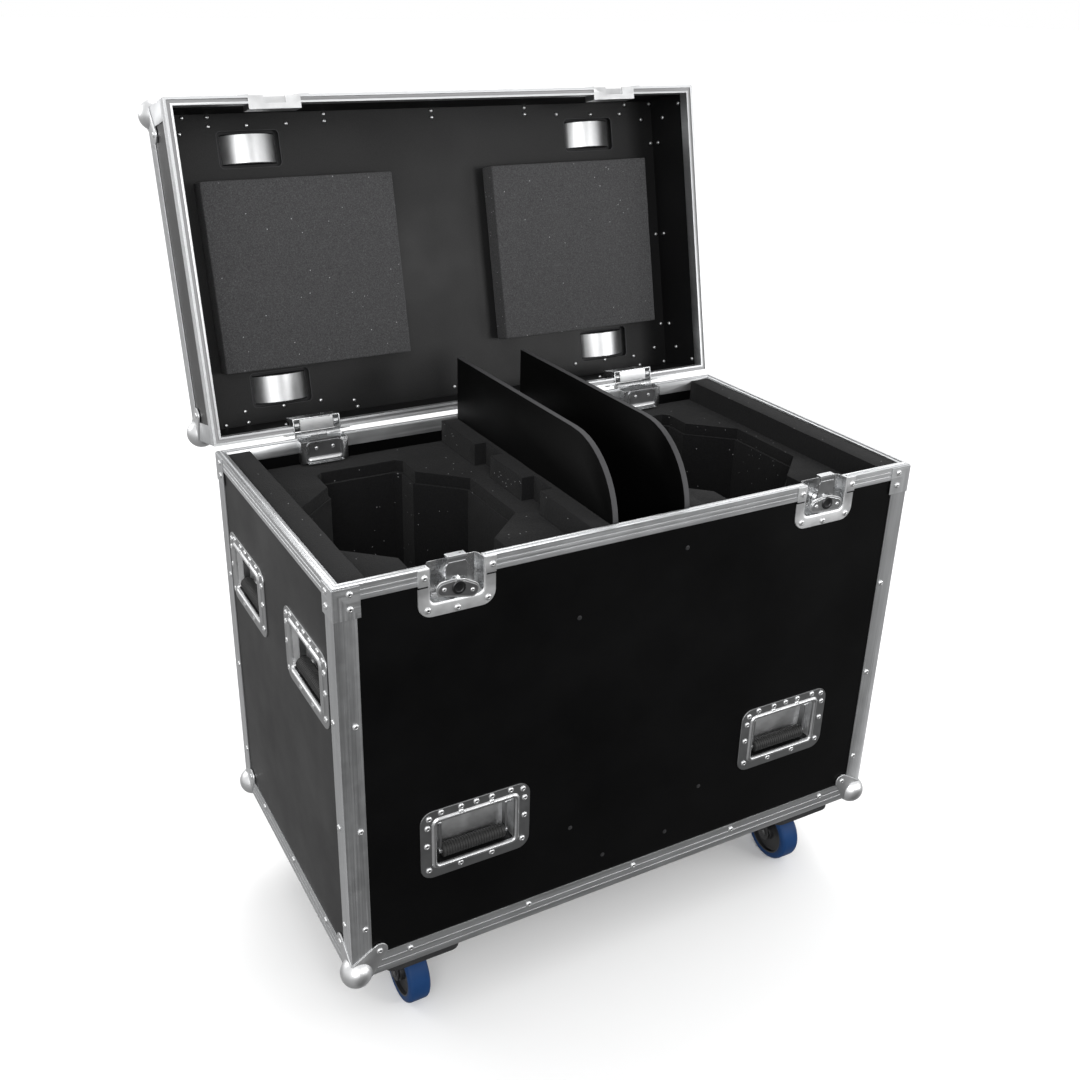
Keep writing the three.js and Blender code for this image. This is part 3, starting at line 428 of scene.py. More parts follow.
# Building meshes
WELD = 0.002
FLAT_ANGLE = 0.6
FACING = 0.5
SMOOTH_ANGLE = 35
WIDE_ANGLE = 40
BEVEL_ANGLE = 32
QUARTER_STEPS = 6
HULL_STEPS = 40
ROUND_PROFILE = 0.5


def ring_angles(count):
    return [math.tau * i / count for i in range(count)]


def loft(bm, rings, closed=True):
    """Joins rings of points with quads, and returns the rows of vertices."""
    rows = [[bm.verts.new(point) for point in ring] for ring in rings]
    for below, above in zip(rows, rows[1:]):
        count = len(below)
        for i in range(count if closed else count - 1):
            j = (i + 1) % count
            bm.faces.new((below[i], below[j], above[j], above[i]))
    return rows


def fill_across(bm, row):
    """Fills a row whose second half mirrors its first, with one quad per pair of levels."""
    half = len(row) // 2
    left = row[:half]
    right = row[half:][::-1]
    for i in range(half - 1):
        bm.faces.new((left[i], right[i], right[i + 1], left[i + 1]))


def rounded_rect(half_width, half_height, radius, y=0):
    """Ring in X and Z that starts left of the middle of the bottom and runs clockwise from outside."""
    ring = []
    for sx, sz, start in ((-1, -1, 270), (-1, 1, 180), (1, 1, 90), (1, -1, 0)):
        cx = sx * (half_width - radius)
        cz = sz * (half_height - radius)
        for i in range(QUARTER_STEPS + 1):
            angle = math.radians(start - 90 * i / QUARTER_STEPS)
            ring.append(Vector((cx + radius * math.cos(angle), y, cz + radius * math.sin(angle))))
    return ring


def rounded_outline(half, top, bottom, radius):
    """Outline in X and Z of a rounded plate between two heights."""
    middle = (top + bottom) / 2
    return [(p.x, p.z + middle) for p in rounded_rect(half, (top - bottom) / 2, radius)]


def u_path(half_width, bottom, radius, y, levels, steps):
    """Open path in X and Z: down the left side, round the bottom and up the right side."""
    left = [Vector((-half_width, y, height)) for height in levels]
    for i in range(steps + 1):
        angle = math.radians(180 + 90 * i / steps)
        x = radius - half_width + radius * math.cos(angle)
        left.append(Vector((x, y, bottom + radius + radius * math.sin(angle))))
    return left + [Vector((-p.x, p.y, p.z)) for p in reversed(left)]


def lathe(bm, profile, steps, place=Matrix()):
    """Turns (radius, height) points about the local Z axis."""
    rings = []
    for radius, height in profile:
        points = [Vector((radius * math.cos(a), radius * math.sin(a), height)) for a in ring_angles(steps)]
        rings.append([place @ point for point in points])
    rows = loft(bm, rings)
    bm.faces.new(rows[0])
    bm.faces.new(rows[-1])
    return rows


def wheel_ring(profile, steps):
    """Mesh of a closed section of (radius, x) points that is turned about the X axis."""
    bm = bmesh.new()
    rings = [[Vector((x, r * math.cos(a), r * math.sin(a))) for a in ring_angles(steps)] for r, x in profile]
    rows = loft(bm, rings)
    for i in range(steps):
        j = (i + 1) % steps
        bm.faces.new((rows[-1][i], rows[-1][j], rows[0][j], rows[0][i]))
    return bm


def both_sides(profile):
    """A section of (radius, x) points that goes on with its mirror image."""
    return profile + [(radius, -x) for radius, x in reversed(profile)]


def slab(bm, outline, low, high, place=Matrix()):
    """A plate with an outline in X and Z, from y = low to y = high."""
    rows = loft(bm, [[place @ Vector((x, y, z)) for x, z in outline] for y in (low, high)])
    bm.faces.new(rows[0])
    bm.faces.new(rows[1])


def slab_mesh(outline, low, high, place=Matrix()):
    bm = bmesh.new()
    slab(bm, outline, low, high, place)
    return bm


def round_edges(bm, edges, radius, steps):
    bmesh.ops.bevel(bm, geom=edges, offset=radius, segments=steps, profile=ROUND_PROFILE, affect="EDGES")


def turn(a, b, c):
    return (b[0] - a[0]) * (c[1] - a[1]) - (b[1] - a[1]) * (c[0] - a[0])


def hull_outline(circles):
    """Outline round a set of circles, as a band would lie round them."""
    points = []
    for cx, cz, radius in circles:
        points += [(cx + radius * math.cos(a), cz + radius * math.sin(a)) for a in ring_angles(HULL_STEPS)]
    points.sort()

    def half(ordered):
        chain = []
        for point in ordered:
            while len(chain) > 1 and turn(chain[-2], chain[-1], point) <= 0:
                chain.pop()
            chain.append(point)
        return chain[:-1]

    return half(points) + half(points[::-1])


def piece(name, bm, material, body, place=Matrix(), angle=SMOOTH_ANGLE, weld=True, toward=None):
    """Makes an object from a mesh in millimetres, places it, and lets it ride on a body.
    toward is the way that the faces of an open sheet look on average, as it is drawn."""
    if weld:
        bmesh.ops.remove_doubles(bm, verts=bm.verts, dist=WELD)
    bmesh.ops.recalc_face_normals(bm, faces=bm.faces)
    if toward:
        looks = sum((face.normal * face.calc_area() for face in bm.faces), Vector())
        if looks.dot(Vector(toward)) < 0:
            bmesh.ops.reverse_faces(bm, faces=bm.faces)
    to_place = TO_WORLD @ place
    bmesh.ops.transform(bm, matrix=to_place, verts=bm.verts)
    if to_place.determinant() < 0:
        bmesh.ops.reverse_faces(bm, faces=bm.faces)
    mesh = bpy.data.meshes.new(name)
    bm.to_mesh(mesh)
    bm.free()
    obj = bpy.data.objects.new(name, mesh)
    bpy.context.scene.collection.objects.link(obj)
    for each in material if isinstance(material, tuple) else (material,):
        mesh.materials.append(each)
    for polygon in mesh.polygons:
        polygon.use_smooth = True
    mesh.set_sharp_from_angle(angle=math.radians(angle))
    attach(obj, body)
    return obj


def bevelled(obj, width, segments=2, angle=BEVEL_ANGLE):
    modifier = obj.modifiers.new("edges", "BEVEL")
    modifier.width = width * MM
    modifier.segments = segments
    modifier.limit_method = "ANGLE"
    modifier.angle_limit = math.radians(angle)
    modifier.harden_normals = True
    modifier.use_clamp_overlap = True


def solidify(obj, thickness):
    modifier = obj.modifiers.new("sheet", "SOLIDIFY")
    modifier.thickness = thickness * MM
    modifier.offset = -1


def copy_of(node, edge_step=0, reshape=None):
    """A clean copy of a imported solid's mesh, in millimetres. Its flat faces are joined and cut
    into triangles again, with extra points along the edges where edge_step is given."""
    bm = bmesh.new()
    bm.from_mesh(frame["nodes"][node].data)
    bmesh.ops.transform(bm, matrix=TO_WORLD.inverted(), verts=bm.verts)
    bmesh.ops.remove_doubles(bm, verts=bm.verts, dist=WELD)
    bmesh.ops.dissolve_limit(bm, angle_limit=math.radians(FLAT_ANGLE), verts=bm.verts, edges=bm.edges)
    if reshape:
        reshape(bm)
    if edge_step:
        for edge in list(bm.edges):
            cuts = int(edge.calc_length() / edge_step)
            if cuts:
                bmesh.ops.bisect_edges(bm, edges=[edge], cuts=cuts)
    bmesh.ops.triangulate(bm, faces=bm.faces, ngon_method="BEAUTY")
    return bm


def redress(node, material, width, segments=2, pick=None, angle=SMOOTH_ANGLE, reshape=None):
    """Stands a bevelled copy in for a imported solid. pick gives each face its material."""
    bm = copy_of(node, reshape=reshape)
    if pick:
        for face in bm.faces:
            face.material_index = pick(face)
    obj = piece(node + "_finish", bm, material, frame["nodes"][node]["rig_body"], angle=angle)
    bevelled(obj, width, segments)
    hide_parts(node)


def paint(node, material):
    """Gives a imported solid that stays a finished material."""
    obj = frame["nodes"][node]
    obj.data.materials.clear()
    obj.data.materials.append(material)


def closed_centre(face):
    """Middle of a face of the lid, in the lid's closed place."""
    return OPEN_LID.inverted() @ face.calc_center_median()


# Boards
OUTER_SLACK = 0.5
BOARD_EDGE_ROUND = 0.3
DIVIDER_EDGE_ROUND = 1.2
DIVIDER_SMOOTH_ANGLE = 50
CASTOR_BOARD_EDGE_ROUND = 1.5


def lid_board_face(face):
    """The outside of the lid's side boards is glossy and a lighter laminate, a painted sheen, and of its
    front and back boards black.
    """
    centre = closed_centre(face)
    edge = -SHEET - OUTER_SLACK
    if abs(centre.x) - HALF_WIDTH > edge:
        return 1
    return 2 if abs(centre.y) - HALF_DEPTH > edge else 0


def divider_face(face):
    return 0 if abs(face.normal.x) > FACING else 1


def dress_boards():
    paint("base_front_board", LAMINATE)
    paint("base_back_board", LAMINATE)
    paint("base_floor_board", INSIDE)
    paint("lid_top_board", NETTED)
    # The outside of the lid's side boards takes the lighter laminate with its painted sheen.
    faces = (INSIDE, LID_OUTER_PAINTED_SHEEN, LAMINATE)
    redress("lid_side_boards", faces, BOARD_EDGE_ROUND, pick=lid_board_face)
    for side in SIDES:
        # The base side boards take the lighter laminate with its painted sheen.
        paint("base_side_board_" + side, SIDE_PAINTED_SHEEN)
        # Divider edges take the lighter edge laminate: a painted sheen.
        redress("divider_" + side, (DIVIDER_FACE, DIVIDER_EDGE_PAINTED_SHEEN), DIVIDER_EDGE_ROUND, 3,
                divider_face, DIVIDER_SMOOTH_ANGLE)
        redress("castor_board_" + side, BOARD, CASTOR_BOARD_EDGE_ROUND)


# Extrusions
LATCH_X = 307
HINGE_X = 306
HINGE_BOX_HALF = 39.5
EXTRUSION_ROUND = 0.35
EXTRUSION_REACH = 34
BAND_TOP = 36
RIM_REACH = 24
RIM_LEG = 22
ANGLE_LEG = 31
GROOVE_INSET = (4, 9)
GROOVE_RISE = (0.1, 4)
KEEPER_REACH = 56
KEEPER_HALF = 41.5
KEEPER_DEPTH = 24
KEEPER_WEB = 13
KEEPER_ROUND = 7
KEEPER_RISE = 3
KEEPER_SLACK = 0.6
KEEPER_FACE = 0.2
KEEPER_EDGE = 1
TONGUE_RELIEF = 0.2
TONGUE_SLACK = 0.1


def run_of(face):
    """Index of the material whose die lines follow the extrusion that a face belongs to."""
    centre = face.calc_center_median()
    inward_x = HALF_WIDTH - abs(centre.x)
    inward_y = HALF_DEPTH - abs(centre.y)
    near_side = abs(inward_x) < EXTRUSION_REACH
    near_end = abs(inward_y) < EXTRUSION_REACH
    if near_side and near_end and BAND_TOP < centre.z < BASE_HEIGHT - RIM_REACH:
        return 2
    return 1 if near_side and inward_x < inward_y else 0


def lid_run_of(face):
    """The same for the lid, which is judged in its closed place."""
    centre = closed_centre(face)
    inward_x = HALF_WIDTH - abs(centre.x)
    inward_y = HALF_DEPTH - abs(centre.y)
    in_corner = inward_x < EXTRUSION_REACH and inward_y < EXTRUSION_REACH
    if in_corner and LID_BOTTOM + RIM_LEG < centre.z < LID_TOP - ANGLE_LEG:
        return 2
    return 1 if inward_x < inward_y else 0


def in_groove(centre):
    """Whether a spot of the closed lid lies in the groove that takes the tongue of the base."""
    inset = min(HALF_WIDTH - abs(centre.x), HALF_DEPTH - abs(centre.y))
    in_rise = GROOVE_RISE[0] < centre.z - LID_BOTTOM < GROOVE_RISE[1]
    return GROOVE_INSET[0] < inset < GROOVE_INSET[1] and in_rise


def back_rim_run_of(face):
    return 3 if in_groove(closed_centre(face)) else lid_run_of(face)


def keeper_or_run(face):
    """Keeper plates of the lid rim are zinc, its groove is shaded, and the rest is extrusion."""
    centre = closed_centre(face)
    if in_groove(centre):
        return 4
    across = abs(abs(centre.x) - LATCH_X)
    inward = centre.y + HALF_DEPTH
    in_keeper = across < KEEPER_REACH and inward < KEEPER_DEPTH
    on_plate = inward < -KEEPER_FACE or inward > KEEPER_WEB or across < KEEPER_HALF + OUTER_SLACK
    return 3 if in_keeper and on_plate else lid_run_of(face)


def round_keepers(bm):
    """Rounds the inner corners of the two keeper ledges."""
    corners = []
    for edge in bm.edges:
        ends = [OPEN_LID.inverted() @ vert.co for vert in edge.verts]
        across = all(abs(abs(abs(p.x) - LATCH_X) - KEEPER_HALF) < KEEPER_SLACK for p in ends)
        inner = all(abs(p.y + HALF_DEPTH - KEEPER_DEPTH) < KEEPER_SLACK for p in ends)
        low = all(p.z < LID_BOTTOM + KEEPER_RISE for p in ends)
        if across and inner and low and abs(ends[0].z - ends[1].z) > KEEPER_EDGE:
            corners.append(edge)
    round_edges(bm, corners, KEEPER_ROUND, QUARTER_STEPS)


def relieve_tongue(bm):
    """Draws the ends of the rim's tongue back from the lid halves of the hinges."""
    for vert in bm.verts:
        out = abs(vert.co.x) - HINGE_X
        if vert.co.z > BASE_HEIGHT + OUTER_SLACK and abs(abs(out) - HINGE_BOX_HALF) < TONGUE_SLACK:
            vert.co.x += math.copysign(TONGUE_RELIEF, vert.co.x) * math.copysign(1, out)


def dress_extrusions():
    looks = {
        "base_edges": (ALUMINIUM, run_of, None),
        "base_rim_front": (ALUMINIUM, run_of, None),
        "base_rim_left": (ALUMINIUM, run_of, relieve_tongue),
        "base_rim_right": (ALUMINIUM, run_of, relieve_tongue),
        "base_rim_back": (ALUMINIUM, run_of, relieve_tongue),
        "lid_edges": (ALUMINIUM, lid_run_of, None),
        "lid_rim_back": (ALUMINIUM + (GROOVE,), back_rim_run_of, None),
        "lid_rim": (ALUMINIUM + (KEEPER_ZINC, GROOVE), keeper_or_run, round_keepers),
    }
    for node, (metals, pick, reshape) in looks.items():
        redress(node, metals, EXTRUSION_ROUND, pick=pick, reshape=reshape)


# Rivets and screws. A head has a radius, a height and the share of its radius that is its hole.
RIVET_HEAD = (4.7, 2.2, 0.28)
KEY_RIVET_HEAD = (3.2, 1.3, 0.28)
HINGE_RIVET_HEAD = (3.2, 1.4, 0.28)
TAIL_HEAD = (3.2, 2.8, 0.08)
RIVET_DOME_SHARES = [(1, 0.22), (0.94, 0.48), (0.8, 0.76), (0.58, 0.95)]
RIVET_HOLE_SHARES = [(1.3, 1), (1, 0.85), (0.92, 0.1)]
RIVET_SUNK = 0.3
RIVET_STEPS = 20
SCREW_PROFILE = [(3.6, -0.3), (3.6, 0.35), (2.88, 0.6), (1.08, 0.6), (0.792, 0.1)]
SCREW_STEPS = 16
SCREW_SMOOTH_ANGLE = 30
PANEL_SCREWS = [(56.4, 573), (-120, 503), (-120.7, 142.5), (-59.5, 68.3), (57.7, 69.4), (117.6, 137.6)]
LEG_RIVET_HEIGHTS = (88, 258, 426)
LEG_RIVET_INSET = 22.5
BRACE_RIVET_HEIGHTS = (598, 619)
BRACE_RIVET_INSET = 22
BRACE_THICKNESS = 1.2
BAND_RIVET_X = (-385, -190, 0, 194, 386)
BAND_RIVET_Y = (-150, 0, 150)
BAND_RIVET_Z = 24.5


def add_rivet(bm, place, head):
    """Blind rivet head on the plane y = 0 of its place: a dome with a hole in its middle."""
    radius, height, hole_share = head
    hole = hole_share * radius
    profile = [(radius, -RIVET_SUNK)]
    profile += [(radius * across, height * up) for across, up in RIVET_DOME_SHARES]
    profile += [(hole * across, height * up) for across, up in RIVET_HOLE_SHARES]
    rows = lathe(bm, profile, RIVET_STEPS, place @ turned("X"))
    # The floor of the hole takes the near-black second material: painted shade in the hole.
    for corner in rows[-1]:
        for face in corner.link_faces:
            face.material_index = 1


def rivets(name, places, body, place=Matrix(), head=RIVET_HEAD):
    bm = bmesh.new()
    for each in places:
        add_rivet(bm, each, head)
    piece(name, bm, (RIVET, HOLE_PAINTED_SHADE), body, place, WIDE_ANGLE, weld=False)


def base_rivets():
    places = []
    for side in SIDES.values():
        for z in LEG_RIVET_HEIGHTS:
            places += all_round(side, LEG_RIVET_INSET, z)
        for z in BRACE_RIVET_HEIGHTS:
            places += all_round(side, BRACE_RIVET_INSET, z, BRACE_THICKNESS)
    for x in BAND_RIVET_X:
        places += [on_front(x, BAND_RIVET_Z), on_back(x, BAND_RIVET_Z)]
    for y in BAND_RIVET_Y:
        places += [on_left(y, BAND_RIVET_Z), on_right(y, BAND_RIVET_Z)]
    rivets("base_rivets", places, "base")


def panel_screws():
    """Countersunk heads with a recess, flush on the front and back boards."""
    bm = bmesh.new()
    flush = at(y=SHEET) @ turned("X")
    for x, z in PANEL_SCREWS:
        lathe(bm, SCREW_PROFILE, SCREW_STEPS, on_front(x, z) @ flush)
        lathe(bm, SCREW_PROFILE, SCREW_STEPS, on_back(-x, z) @ flush)
    piece("panel_screws", bm, FORK_STEEL, "base", angle=SCREW_SMOOTH_ANGLE, weld=False)


# Ball corners
BALL_RADIUS = 23
BALL_INSET = 9
BALL_SEGMENTS = (48, 32)
EAR_OFFSET = 42
EAR_RADIUS = 12.5
EAR_STEPS = 14
EAR_SUNK = 0.2
EAR_ROUND = 0.8
EAR_ROUND_STEPS = 3
BALL_SMOOTH_ANGLE = 50


def ear_outline():
    """Ear on one face, from the corner of the case outwards: straight sides and a round end."""
    start = EAR_OFFSET - EAR_RADIUS
    outline = [(0, 0), (start, 0)]
    for i in range(EAR_STEPS + 1):
        angle = math.radians(180 * i / EAR_STEPS - 45)
        x, z = EAR_RADIUS * math.cos(angle), EAR_RADIUS * math.sin(angle)
        outline.append((EAR_OFFSET + x, EAR_OFFSET + z))
    return outline + [(0, start)]


def swapped(first, second):
    """Swaps two axes."""
    rows = [list(row) for row in Matrix()]
    rows[first], rows[second] = rows[second], rows[first]
    return Matrix(rows)


def ball_corner_mesh():
    """Smooth ball with three ears over the lower front left corner, outside the box only."""
    bm = bmesh.new()
    across, up = BALL_SEGMENTS
    bmesh.ops.create_uvsphere(bm, u_segments=across, v_segments=up, radius=BALL_RADIUS + PROUD)
    bmesh.ops.translate(bm, verts=bm.verts, vec=Vector((BALL_INSET, BALL_INSET, BALL_INSET)))
    inner = [v for v in bm.verts if min(v.co) > SHEET]
    bmesh.ops.delete(bm, geom=inner, context="VERTS")
    ears = slab_mesh(ear_outline(), -SHEET - PROUD, EAR_SUNK)
    rim = [edge for edge in ears.edges if all(v.co.y < 0 for v in edge.verts)]
    round_edges(ears, rim, EAR_ROUND, EAR_ROUND_STEPS)
    ear = bpy.data.meshes.new("ear")
    ears.to_mesh(ear)
    ears.free()
    for swap in (Matrix(), swapped(0, 1), swapped(1, 2)):
        ear.transform(swap)
        bm.from_mesh(ear)
        ear.transform(swap)
    bpy.data.meshes.remove(ear)
    return bm


def ball_corners():
    to_top = OPEN_LID @ at(z=LID_TOP) @ FLIP_Z
    places = []
    for name, (sx, sy) in SPOTS.items():
        corner = Matrix.Diagonal((-sx, -sy, 1, 1)) @ at(-HALF_WIDTH, -HALF_DEPTH)
        piece("ball_corner_" + name, ball_corner_mesh(), BALL_ZINC, "base", corner,
              BALL_SMOOTH_ANGLE, weld=False)
        piece("lid_ball_corner_" + name, ball_corner_mesh(), BALL_ZINC, "lid", to_top @ corner,
              BALL_SMOOTH_ANGLE, weld=False)
        under = on_floor(sx * (HALF_WIDTH - EAR_OFFSET), sy * (HALF_DEPTH - EAR_OFFSET))
        places.append(under @ at(y=-SHEET - PROUD))
    for side in SIDES.values():
        places += all_round(side, EAR_OFFSET, EAR_OFFSET, SHEET + PROUD)
    rivets("ball_corner_rivets", places, "base")
    rivets("lid_ball_corner_rivets", places, "lid", to_top)


# Recessed handles. The edge of the plate has insets and depths. The lip and the floor of the
# recess have a growth over the opening, a corner radius and a depth, for the floor from its back.
HANDLE_FRONT = (279.5, 197)
HANDLE_SIDE = (135, 456)
HANDLE_HALF = (87, 58)
HANDLE_RADIUS = 20
HANDLE_EDGE = [(0, 1.45), (0, 0.4), (0.5, -PROUD)]
OPENING_HALF = (62, 37)
OPENING_LIP = [
    (7.6, 11.4, -PROUD), (6.6, 10.6, -1.3), (5.4, 9.6, -2.5), (3.9, 8.4, -3.1), (2.3, 7, -2.9),
    (0.9, 6, -1.9), (0, 5.5, -0.2), (-0.4, 5.2, 2.4),
]
LIP_BACK = 3
LIP_GROWTH = 8
RECESS_FLOOR = [(-1.4, 6, -3.4), (-4.4, 6, 0)]
RECESS_DEPTH = 29
RECESS_TOP_DEPTH = 21
RECESS_HALF = 36
HANDLE_RIVETS = [
    (-73.5, 46), (-76, 31), (-77, 0), (-74.5, -43), (-55, 52), (-24, 51.8), (-24, 42.5), (0, 52), (24.5, 52),
    (24.5, 42.5), (55, 52), (75, 48), (78, 31.5), (78, 0.5), (75, -41), (25, -47), (-25, -47),
]
GRIP_RADIUS = 10.6
GRIP_HALF = 50
GRIP_END = [(2.2, 0), (0.6, 0.8)]
GRIP_RIB_START = 1.6
GRIP_RIB_END = 2.5
GRIP_RIB = 4.2
GRIP_RIB_SHARES = (0, 0.5, 0.64, 0.86)
GRIP_RIB_DEPTH = 0.9
GRIP_PIVOT = (13, 24)
GRIP_BAR = (11.6, -24)
GRIP_STEPS = 32
GRIP_ARM_X = 52
GRIP_ARM_RADIUS = 5
GRIP_ARM_HALF = 1.6
GRIP_PIN = (3.4, 4.6)
GRIP_BOSS = (4.6, 2.6)
PIN_STEPS = 20
RUBBER_SMOOTH_ANGLE = 30
ARM_ROUND = 0.5


def handle_places():
    x, low = HANDLE_FRONT
    y, high = HANDLE_SIDE
    return {
        "front_left": on_front(-x, low),
        "front_right": on_front(x, low),
        "left_front": on_left(-y, high),
        "left_back": on_left(y, high),
        "right_front": on_right(-y, high),
        "right_back": on_right(y, high),
    }


def recess_point(p, forward):
    """Point on the back of the recess, which leans forward towards the top."""
    share = (p.z + RECESS_HALF) / (RECESS_HALF * 2)
    depth = RECESS_DEPTH + (RECESS_TOP_DEPTH - RECESS_DEPTH) * share
    return Vector((p.x, depth + forward, p.z))


def handle_dish():
    width, height = HANDLE_HALF
    rings = []
    for inset, y in HANDLE_EDGE:
        rings.append(rounded_rect(width - inset, height - inset, HANDLE_RADIUS - inset, y))
    width, height = OPENING_HALF
    for growth, radius, y in OPENING_LIP:
        rings.append(rounded_rect(width + growth, height + growth, radius, y))
    for growth, radius, forward in RECESS_FLOOR:
        ring = rounded_rect(width + growth, height + growth, radius)
        rings.append([recess_point(p, forward) for p in ring])
    bm = bmesh.new()
    rows = loft(bm, rings)
    fill_across(bm, rows[-1])
    bmesh.ops.recalc_face_normals(bm, faces=bm.faces)
    for face in bm.faces:
        centre = face.calc_center_median()
        # Faces of the recess: its back takes painted light and its upward floor painted shade.
        if centre.y > LIP_BACK:
            face.material_index = 3 if face.normal.z > FACING else 2
        elif abs(centre.x) < width + LIP_GROWTH and abs(centre.z) < height + LIP_GROWTH:
            face.material_index = 1
    return bm


def grip_bar():
    """Rubber sleeve with moulded ribs round it, along local X."""
    ends = [(GRIP_RADIUS - less, GRIP_HALF - inset) for less, inset in GRIP_END]
    profile = [(radius, -x) for radius, x in ends]
    rib_radii = (GRIP_RADIUS, GRIP_RADIUS, GRIP_RADIUS - GRIP_RIB_DEPTH, GRIP_RADIUS - GRIP_RIB_DEPTH)
    x = -GRIP_HALF + GRIP_RIB_START
    while x < GRIP_HALF - GRIP_RIB_END:
        profile += [(radius, x + GRIP_RIB * share) for radius, share in zip(rib_radii, GRIP_RIB_SHARES)]
        x += GRIP_RIB
    bm = bmesh.new()
    lathe(bm, profile + ends[::-1], GRIP_STEPS, at(0, *GRIP_BAR) @ turned("Y"))
    return bm


def grip_arms():
    """Two flat steel arms with round ends, and the pins that they turn on."""
    bm = bmesh.new()
    pivot_y, pivot_z = GRIP_PIVOT
    outline = hull_outline([(0, pivot_z, GRIP_ARM_RADIUS), (0, GRIP_BAR[1], GRIP_ARM_RADIUS)])
    for sign in SIDES.values():
        slab(bm, outline, -GRIP_ARM_HALF, GRIP_ARM_HALF, at(sign * GRIP_ARM_X, pivot_y) @ turned("Z"))
        pin = at(sign * (GRIP_ARM_X + GRIP_PIN[1]), pivot_y, pivot_z)
        boss = at(sign * GRIP_ARM_X, *GRIP_BAR)
        for (radius, half), place in ((GRIP_PIN, pin), (GRIP_BOSS, boss)):
            lathe(bm, [(radius, -half), (radius, half)], PIN_STEPS, place @ turned("Y"))
    return bm


def handles():
    # The plate's darker zinc is painted shade and the recess's lighter zinc painted light.
    metals = (HANDLE_PLATE_PAINTED_SHADE, LIP_ZINC, RECESS_PAINTED_LIGHT, SHADED_ZINC)
    for spot, place in handle_places().items():
        dish = piece("dish_" + spot, handle_dish(), metals, "base", place,
                     WIDE_ANGLE, toward=(0, -1, 0))
        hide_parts("handle_dish_" + spot)
        rivets("dish_rivets_" + spot, [place @ at(x, -PROUD, z) for x, z in HANDLE_RIVETS], "base")
        body = "handle_grip_" + spot
        bar = piece("grip_" + spot, grip_bar(), RUBBER, body, place, RUBBER_SMOOTH_ANGLE)
        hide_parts(body)
        # The arms are in the darker steel: painted shade.
        arms = piece("grip_arms_" + spot, grip_arms(), HOOK_AND_ARM_PAINTED_SHADE, body, place, WIDE_ANGLE)
        bevelled(arms, ARM_ROUND)
        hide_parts(body)


# Butterfly latches, drawn below the rim of the base with z = 0 on the rim. Edges are an inset
# or a growth, a corner radius and a depth.
FLANGE_HALF = 55.5
LATCH_DROP = 70
FLANGE_EDGE = [(0, 20, 0), (0, 20, 0.5 - SHEET), (0.6, 19.4, -SHEET - PROUD)]
POCKET_HALF = 37.5
POCKET_BOTTOM = -50.5
POCKET_DEPTH = 19
POCKET_MOUTH = [(4, 11, -SHEET - PROUD), (2, 9.5, 0.2 - SHEET)]
POCKET_WALL = [(0.6, 8.5, 1.2), (0, 8, 4), (-1.5, 8, POCKET_DEPTH - 3), (-4.5, 7, POCKET_DEPTH)]
POCKET_EDGE = 1.3
POCKET_REACH = 3
JOGGLE = (-23.5, -26.5)
FLANGE_LEVELS = (0, -0.4, -12) + JOGGLE
FLANGE_STEPS = 8
DISH_SHEET = 1.1
LATCH_RIVETS = [(-46.7, -11.7), (49.3, -11.9), (-42, -59.2), (0, -64), (44, -59.5)]
KEY_Z = -33
KEY_FRONT = -4.7
KEY_BACK = -2.5
KEY_WING = (20.5, -3.5)
KEY_WING_RADIUS = 8
KEY_SHOULDER = (7, 1)
KEY_SHOULDER_RADIUS = 7.6
KEY_ROUND = 0.6
KEY_SKIRT = 2.8
KEY_SKIRT_REACH = (-1, 1.4)
KEY_SKIRT_ROUND = 0.7
KEY_RING = [(9.6, -1.6), (9.6, 0.9), (8.8, 1.6), (6.2, 1.6), (5.4, 0.8), (3.6, 0.5), (0.4, 0.5)]
KEY_CAM = [(10.6, -0.5), (10.6, 6), (9.2, 7.2), (9.2, 12.5), (10.8, 13.5), (10.8, 20.8)]
KEY_STEPS = 36
# The left key takes the darker steel, painted shade; the right key is plain zinc.
KEY_LOOKS = {"left": (math.radians(12), WINDOW_AND_KEY_PAINTED_SHADE), "right": (math.radians(4), ZINC)}
FORK_HALF = 15
FORK_BOTTOM = -42
FORK_SLOT = 11.4
FORK_ARCH = KEY_Z + 6
FORK_ARCH_SHARE = 0.75
FORK_STEPS = 12
FORK_SHOULDER = -3
FORK_FACES = (1.2, 3.2)
NECK_HALF = 13
NECK_TOP = 10
HEAD_BAR = ((13.4, 6.6, 10.3), (0.9, 11.4))
HEAD_BEAD = ((12, 0.4, 2), (0.4, 1.4))
HOOK_ROUND = 0.5


def joggled(path):
    """Steps a flange back from the rim extrusion onto the board below it."""
    high, low = JOGGLE
    out = []
    for p in path:
        share = min(max((p.z - low) / (high - low), 0), 1)
        out.append(Vector((p.x, p.y + (1 - share) * SHEET, p.z)))
    return out


def latch_ring(half, bottom, growth, radius, y):
    return u_path(half + growth, bottom - growth, radius, y, FLANGE_LEVELS, FLANGE_STEPS)


def latch_dish():
    bm = bmesh.new()
    rings = []
    for inset, radius, y in FLANGE_EDGE:
        rings.append(joggled(latch_ring(FLANGE_HALF, -LATCH_DROP, -inset, radius, y)))
    rings += [joggled(latch_ring(POCKET_HALF, POCKET_BOTTOM, *edge)) for edge in POCKET_MOUTH]
    rings += [latch_ring(POCKET_HALF, POCKET_BOTTOM, *edge) for edge in POCKET_WALL]
    rows = loft(bm, rings, closed=False)
    fill_across(bm, rows[-1])
    for face in bm.faces:
        centre = face.calc_center_median()
        if JOGGLE[1] < centre.z < JOGGLE[0] and abs(centre.x) > POCKET_HALF + POCKET_REACH:
            face.material_index = 1
        elif centre.y < POCKET_EDGE:
            face.material_index = 2
    return bm


